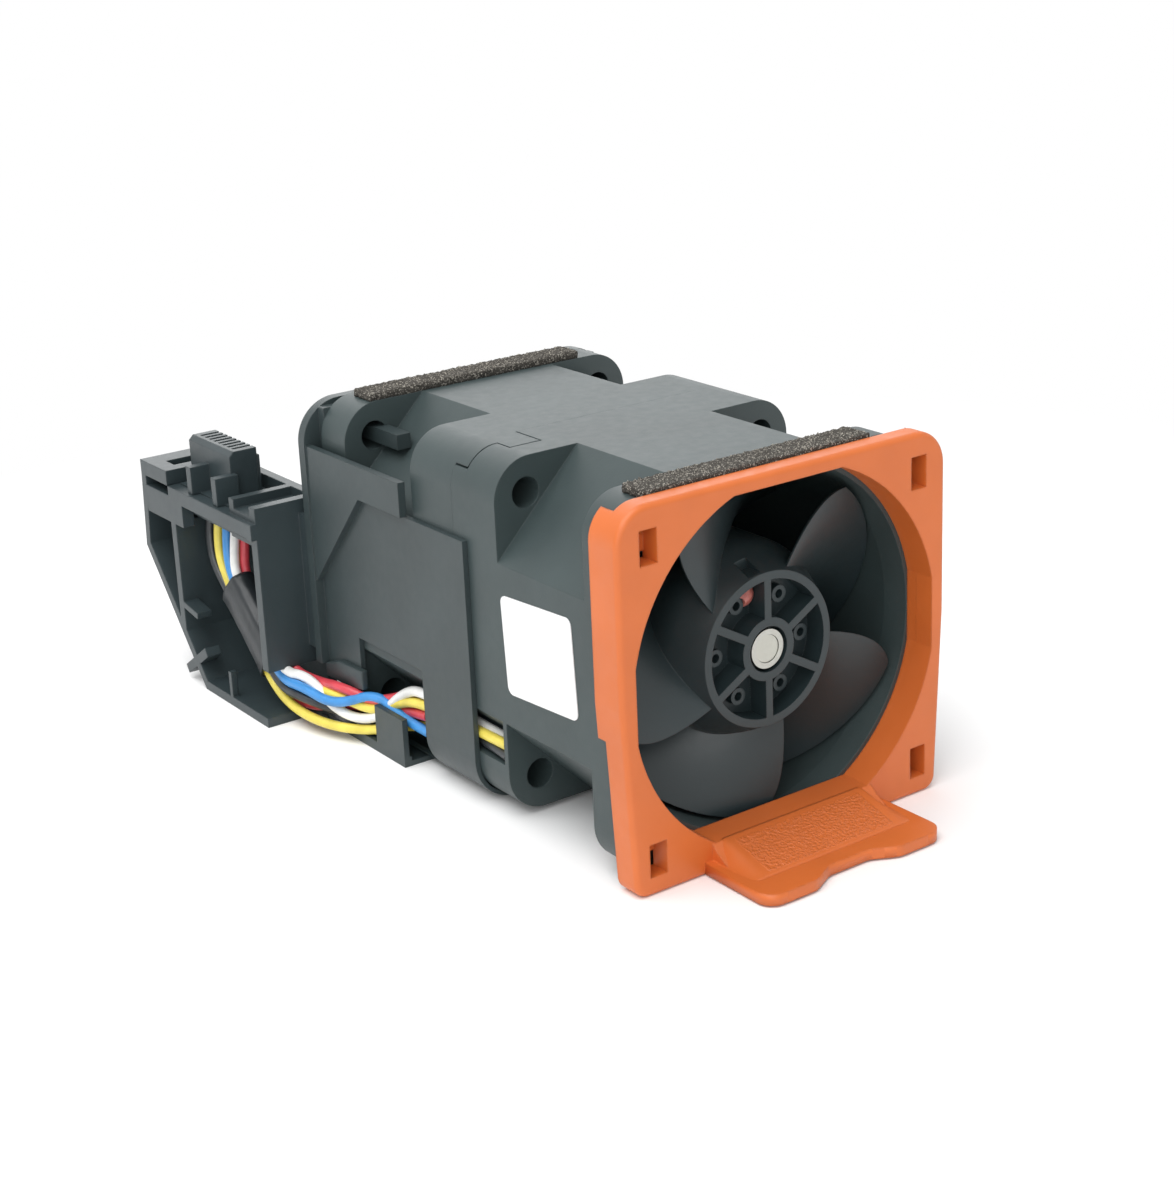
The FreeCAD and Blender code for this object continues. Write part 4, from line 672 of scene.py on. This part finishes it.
# %% Build the tab's skin
TAB_TOP = 1.45
TAB_HALF = 12.02
TAB_REACH = 10.07
TAB_SCOOP = 1.54
TAB_CORNER = 1.9
SCOOP_HALF, SCOOP_SIDE = 6.2, 4.0
SKIN_FOOT, SKIN_TOP = 0.24, TAB_TOP + 0.02
CORNER_STEPS, SCOOP_STEPS = 12, 40
left_side = [(-TAB_HALF, 0.4)]
for step in range(CORNER_STEPS + 1):
    angle = math.pi / 2 * step / CORNER_STEPS
    left_side.append((
        -TAB_HALF + TAB_CORNER * (1 - math.cos(angle)),
        -TAB_REACH + TAB_CORNER * (1 - math.sin(angle)),
    ))
front_side = []
for step in range(SCOOP_STEPS + 1):
    across = -SCOOP_HALF + 2 * SCOOP_HALF * step / SCOOP_STEPS
    part_way = min(1.0, (SCOOP_HALF - abs(across)) / SCOOP_SIDE)
    front_side.append((across, -TAB_REACH + TAB_SCOOP * eased(part_way)))
right_side = [(-across, along) for across, along in reversed(left_side)]
tab_outline = left_side + front_side + right_side

shape = bmesh.new()
rims = [
    [shape.verts.new(Vector((*place, height)) * MM) for place in tab_outline]
    for height in (SKIN_FOOT, SKIN_TOP)
]
for rim in rims:
    shape.faces.new(rim)
for number in range(len(tab_outline)):
    after = (number + 1) % len(tab_outline)
    shape.faces.new((rims[0][number], rims[0][after], rims[1][after], rims[1][number]))
bmesh.ops.recalc_face_normals(shape, faces=shape.faces)
bmesh.ops.triangulate(shape, faces=[face for face in shape.faces if len(face.verts) > 4])
for face in shape.faces:
    face.smooth = abs(face.normal.z) < 0.5
add_piece(shape, "tab_skin", orange)

# %% [markdown]
# ## The slope of the tab
# The thumb's patch rises from the tab to the lower edge of the bezel's opening. Its top is a
# height worked out for each place on a grid, which fades to the tab's top at the front and at
# both ends. The sides and the underside close it into a solid.

# %% Build the slope
OPENING_FOOT = 3.25
SLOPE_REACH = 6.6
SLOPE_FLAT, SLOPE_END = 9.3, 11.4
SLOPE_COLUMNS = 64
SLOPE_FOOT = TAB_TOP - 0.4


def slope_height(across, along):
    """How high the slope stands, fading to the tab's top at its front and its ends."""
    fade = eased(min(1.0, max(0.0, (SLOPE_END - abs(across)) / (SLOPE_END - SLOPE_FLAT))))
    rise = max(0.0, 1.0 + along / SLOPE_REACH)
    return TAB_TOP - 0.05 + (OPENING_FOOT + 0.07 - TAB_TOP) * rise * fade + 0.09 * fade


across_places = [SLOPE_END * (-1 + 2 * step / SLOPE_COLUMNS) for step in range(SLOPE_COLUMNS + 1)]
along_places = [0.3, 0.0, -0.8, -1.8, -2.8, -3.8, -4.8, -5.6, -6.2, -SLOPE_REACH]
shape = bmesh.new()
top, foot = (
    [
        [
            shape.verts.new(Vector((
                across, along, slope_height(across, min(along, 0.0)) if is_top else SLOPE_FOOT,
            )) * MM)
            for across in across_places
        ]
        for along in along_places
    ]
    for is_top in (True, False)
)
for rows in (top, foot):
    for near, far in zip(rows, rows[1:]):
        for number in range(SLOPE_COLUMNS):
            shape.faces.new((near[number], near[number + 1], far[number + 1], far[number]))
for number in range(SLOPE_COLUMNS):
    for row in (0, -1):
        shape.faces.new((
            top[row][number], top[row][number + 1], foot[row][number + 1], foot[row][number],
        ))
for number in range(len(along_places) - 1):
    for column in (0, -1):
        shape.faces.new((
            top[number][column], top[number + 1][column],
            foot[number + 1][column], foot[number][column],
        ))
bmesh.ops.recalc_face_normals(shape, faces=shape.faces)
for face in shape.faces:
    face.smooth = face.normal.z > 0.3
add_piece(shape, "tab_slope", orange)

# %% [markdown]
# ## The strap and the rail
# Two small mouldings are laid over the CAD solids: the strap over the place where the leads leave
# the flank, and the rail along the plug's contact slots. Each starts as an outline in the side
# view, in millimetres, is pushed through to its width, and gets a small bevel.

# %% Build the strap and the rail
SMALL_BEVEL = 0.00015


def side_moulding(name, outline, across, material):
    """A solid from an outline in the side view, in millimetres, between two places across."""
    shape = bmesh.new()
    ends = [
        [shape.verts.new(Vector((place, along, height)) * MM) for along, height in outline]
        for place in across
    ]
    for end in ends:
        shape.faces.new(end)
    for number in range(len(outline)):
        after = (number + 1) % len(outline)
        shape.faces.new((ends[0][number], ends[0][after], ends[1][after], ends[1][number]))
    bmesh.ops.recalc_face_normals(shape, faces=shape.faces)
    bmesh.ops.bevel(
        shape, geom=shape.edges[:], offset=SMALL_BEVEL, segments=3, profile=0.5, affect="EDGES",
    )
    for face in shape.faces:
        face.smooth = True
    return add_piece(shape, name, material)


side_moulding(
    "lead_strap",
    ((52.2, 6.9), (56.0, 6.4), (60.9, 6.2), (60.9, 7.9), (57.6, 9.05), (52.2, 9.25)),
    (-21.35, -20.5), carrier_plastic,
)
side_moulding(
    "plug_rail",
    ((74.9, 26.0), (85.7, 26.0), (85.7, 31.0), (74.9, 31.0)),
    (-21.12, -20.65), guard_plastic,
)

# %% [markdown]
# ## The foam strips
# A strip of open-celled foam seals the top edge of each outer flange. Foam is soft and torn at
# its cells, so a plain block won't do. The strip is a fine grid folded over a block, with noise
# pushing its skin in and out, and its lower side flat on the flange.

# %% Build the foam strips
foam, tree, surface = start_material("speckled_foam", (0.08, 0.074, 0.064), 0.95)
surface.inputs["Specular IOR Level"].default_value = 0.25
speckle = ranged(tree, blotches(tree, 0.00020, 2.0), 0.0, 1.0, 0.56, 0.70)
tree.links.new(
    shaded(tree, speckle, (0.060, 0.055, 0.048), (0.34, 0.32, 0.28)), surface.inputs["Base Color"],
)
relief(tree, surface, blotches(tree, 0.00018, 2.0), 0.00012)
CELL = 0.00022
FOAM_ROUND = 0.00035
TEAR_SIZE = 0.00042
TEAR_DEPTH, TEAR_SPREAD = 0.00010, 0.00016
TINY = 1e-7


def foam_strip(name, node_name, seed):
    """A block of foam with a rough skin, in the CAD strip's box."""
    low, high = (Vector(corner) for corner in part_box(node_name))
    counts = [max(3, round((high[i] - low[i]) / CELL)) for i in range(3)]
    shape = bmesh.new()
    bmesh.ops.create_cube(shape, size=1.0)
    for axis_number in range(3):
        along = Vector([1.0 if i == axis_number else 0.0 for i in range(3)])
        edges = [e for e in shape.edges
                 if abs((e.verts[1].co - e.verts[0].co).normalized().dot(along)) > 0.99]
        cuts = counts[axis_number] - 1
        bmesh.ops.subdivide_edges(shape, edges=edges, cuts=cuts, use_grid_fill=True)
    middle = (low + high) / 2
    half_size = (high - low) / 2
    core = Vector([side - FOAM_ROUND for side in half_size])
    for vertex in shape.verts:
        place = Vector([vertex.co[i] * 2 * half_size[i] for i in range(3)])
        bottom = place.z < -half_size.z + TINY
        inner = Vector([max(-core[i], min(core[i], place[i])) for i in range(3)])
        if bottom:
            inner.z = place.z
        out = place - inner
        if out.length > FOAM_ROUND:
            out = out.normalized() * FOAM_ROUND
        where = (place + middle) / TEAR_SIZE + Vector((seed, 0, 0))
        torn = noise.noise(where) + 0.6 * noise.noise(where * 2.3)
        depth = TEAR_DEPTH + TEAR_SPREAD * torn
        outward = out.normalized() if out.length > TINY else Vector((0, 0, 0))
        place = inner + out - outward * max(0.0, depth)
        if bottom:
            place.z = -half_size.z
        vertex.co = place + middle
    bmesh.ops.remove_doubles(shape, verts=shape.verts, dist=TINY)
    bmesh.ops.recalc_face_normals(shape, faces=shape.faces)
    for face in shape.faces:
        face.smooth = True
    piece = add_piece(shape, name, foam, node_name)
    return piece


foam_pieces = {
    "front": foam_strip("front_foam", "front_foam_strip", 3.0),
    "rear": foam_strip("rear_foam", "rear_foam_strip", 11.0),
}

# %% [markdown]
# ## Flecks on the foam
# Torn cell walls catch the light as pale flecks, hundreds of them. Geometry Nodes scatter them:
# points are spread over the foam's skin with a fixed seed, each gets a tiny ball of random size
# and tilt, and the balls are made real, because the export drops instances. The sizes are named
# inputs, set on the modifier by each socket's identifier.

# %% Scatter the flecks
pale_foam, tree, surface = start_material("pale_foam_flecks", (0.30, 0.28, 0.24), 0.8)
pallor = ranged(tree, blotches(tree, 0.0005, 1.0), 0.0, 1.0)
tree.links.new(
    shaded(tree, pallor, (0.10, 0.092, 0.08), (0.45, 0.42, 0.36)), surface.inputs["Base Color"],
)
FLECKS_PER_SQUARE_METRE = 5.0e6
FLECK_RADIUS = 0.00011
FLECK_SEED = 7
FLECK_FREE_FOOT = 0.0003
fleck_tree = bpy.data.node_groups.new("foam_flecks", "GeometryNodeTree")
sockets = fleck_tree.interface
sockets.new_socket("Foam", in_out="INPUT", socket_type="NodeSocketGeometry")
per_area = sockets.new_socket(
    "Flecks per square metre", in_out="INPUT", socket_type="NodeSocketFloat",
)
fleck_size = sockets.new_socket("Fleck radius", in_out="INPUT", socket_type="NodeSocketFloat")
fleck_seed = sockets.new_socket("Seed", in_out="INPUT", socket_type="NodeSocketInt")
sockets.new_socket("Flecks", in_out="OUTPUT", socket_type="NodeSocketGeometry")
add = fleck_tree.nodes.new
given, made = add("NodeGroupInput"), add("NodeGroupOutput")
spread, ball, place_balls = (
    add("GeometryNodeDistributePointsOnFaces"), add("GeometryNodeMeshIcoSphere"),
    add("GeometryNodeInstanceOnPoints"),
)
ball.inputs["Subdivisions"].default_value = 1
tilt, growth = add("FunctionNodeRandomValue"), add("FunctionNodeRandomValue")
tilt.data_type = growth.data_type = "FLOAT_VECTOR"
tilt.inputs["Max"].default_value = (math.tau, math.tau, math.tau)
growth.inputs["Min"].default_value = (0.4, 0.4, 0.3)
growth.inputs["Max"].default_value = (1.6, 1.0, 0.7)
realize, finish = add("GeometryNodeRealizeInstances"), add("GeometryNodeSetMaterial")
finish.inputs["Material"].default_value = pale_foam
join = fleck_tree.links.new
join(given.outputs["Foam"], spread.inputs["Mesh"])
join(given.outputs["Flecks per square metre"], spread.inputs["Density"])
join(given.outputs["Seed"], spread.inputs["Seed"])
join(given.outputs["Fleck radius"], ball.inputs["Radius"])
join(spread.outputs["Points"], place_balls.inputs["Points"])
join(ball.outputs["Mesh"], place_balls.inputs["Instance"])
join(tilt.outputs["Value"], place_balls.inputs["Rotation"])
join(growth.outputs["Value"], place_balls.inputs["Scale"])
join(place_balls.outputs["Instances"], realize.inputs["Geometry"])
join(realize.outputs["Geometry"], finish.inputs["Geometry"])
join(finish.outputs["Geometry"], made.inputs["Flecks"])

for number, (side, strip) in enumerate(foam_pieces.items()):
    top_only = bmesh.new()
    top_only.from_mesh(strip.data)
    foot = min(vertex.co.z for vertex in top_only.verts)
    limit = foot + FLECK_FREE_FOOT
    low_faces = [f for f in top_only.faces if f.calc_center_median().z < limit]
    bmesh.ops.delete(top_only, geom=low_faces, context="FACES")
    base = bpy.data.meshes.new(side + "_fleck_base")
    top_only.to_mesh(base)
    top_only.free()
    fleck_host = bpy.data.objects.new(side + "_fleck_base", base)
    bpy.context.scene.collection.objects.link(fleck_host)
    modifier = fleck_host.modifiers.new("flecks", "NODES")
    modifier.node_group = fleck_tree
    modifier[per_area.identifier] = FLECKS_PER_SQUARE_METRE
    modifier[fleck_size.identifier] = FLECK_RADIUS
    modifier[fleck_seed.identifier] = FLECK_SEED + number
    bpy.context.view_layer.update()
    ready = fleck_host.evaluated_get(bpy.context.evaluated_depsgraph_get())
    fleck_mesh = bpy.data.meshes.new_from_object(ready)
    bpy.data.objects.remove(fleck_host)
    fleck_piece = bpy.data.objects.new(side + "_foam_flecks", fleck_mesh)
    bpy.context.scene.collection.objects.link(fleck_piece)
    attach(fleck_piece, "module")
    print(fleck_piece.name, "has", len(fleck_mesh.polygons), "faces")

# %% [markdown]
# ## The balance putty
# A dab of red-brown putty sits in the nose and balances the rotor. The dome is the CAD's own. It
# is waxy, so light goes a little way into it, and its colour is mottled.

# %% Finish the putty
putty, tree, surface = start_material("balance_putty", (0.43, 0.135, 0.113), 0.35)
surface.inputs["Subsurface Weight"].default_value = 0.15
surface.inputs["Subsurface Scale"].default_value = 0.0008
mottled = ranged(tree, blotches(tree, 0.0006, 3.0), 0.0, 1.0)
tree.links.new(
    shaded(tree, mottled, (0.34, 0.09, 0.075), (0.52, 0.18, 0.15)), surface.inputs["Base Color"],
)
relief(tree, surface, blotches(tree, 0.0004, 2.0), 0.00006)
dress(putty, "balance_putty")

print("putty dressed")

# %% [markdown]
# ## Sizes
# The CAD's box and the visual model's box are written side by side, so that any growth shows.

# %% Print the sizes
low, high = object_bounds()
print("visual box in mm", [round(v / MM, 1) for v in (*low, *high)])
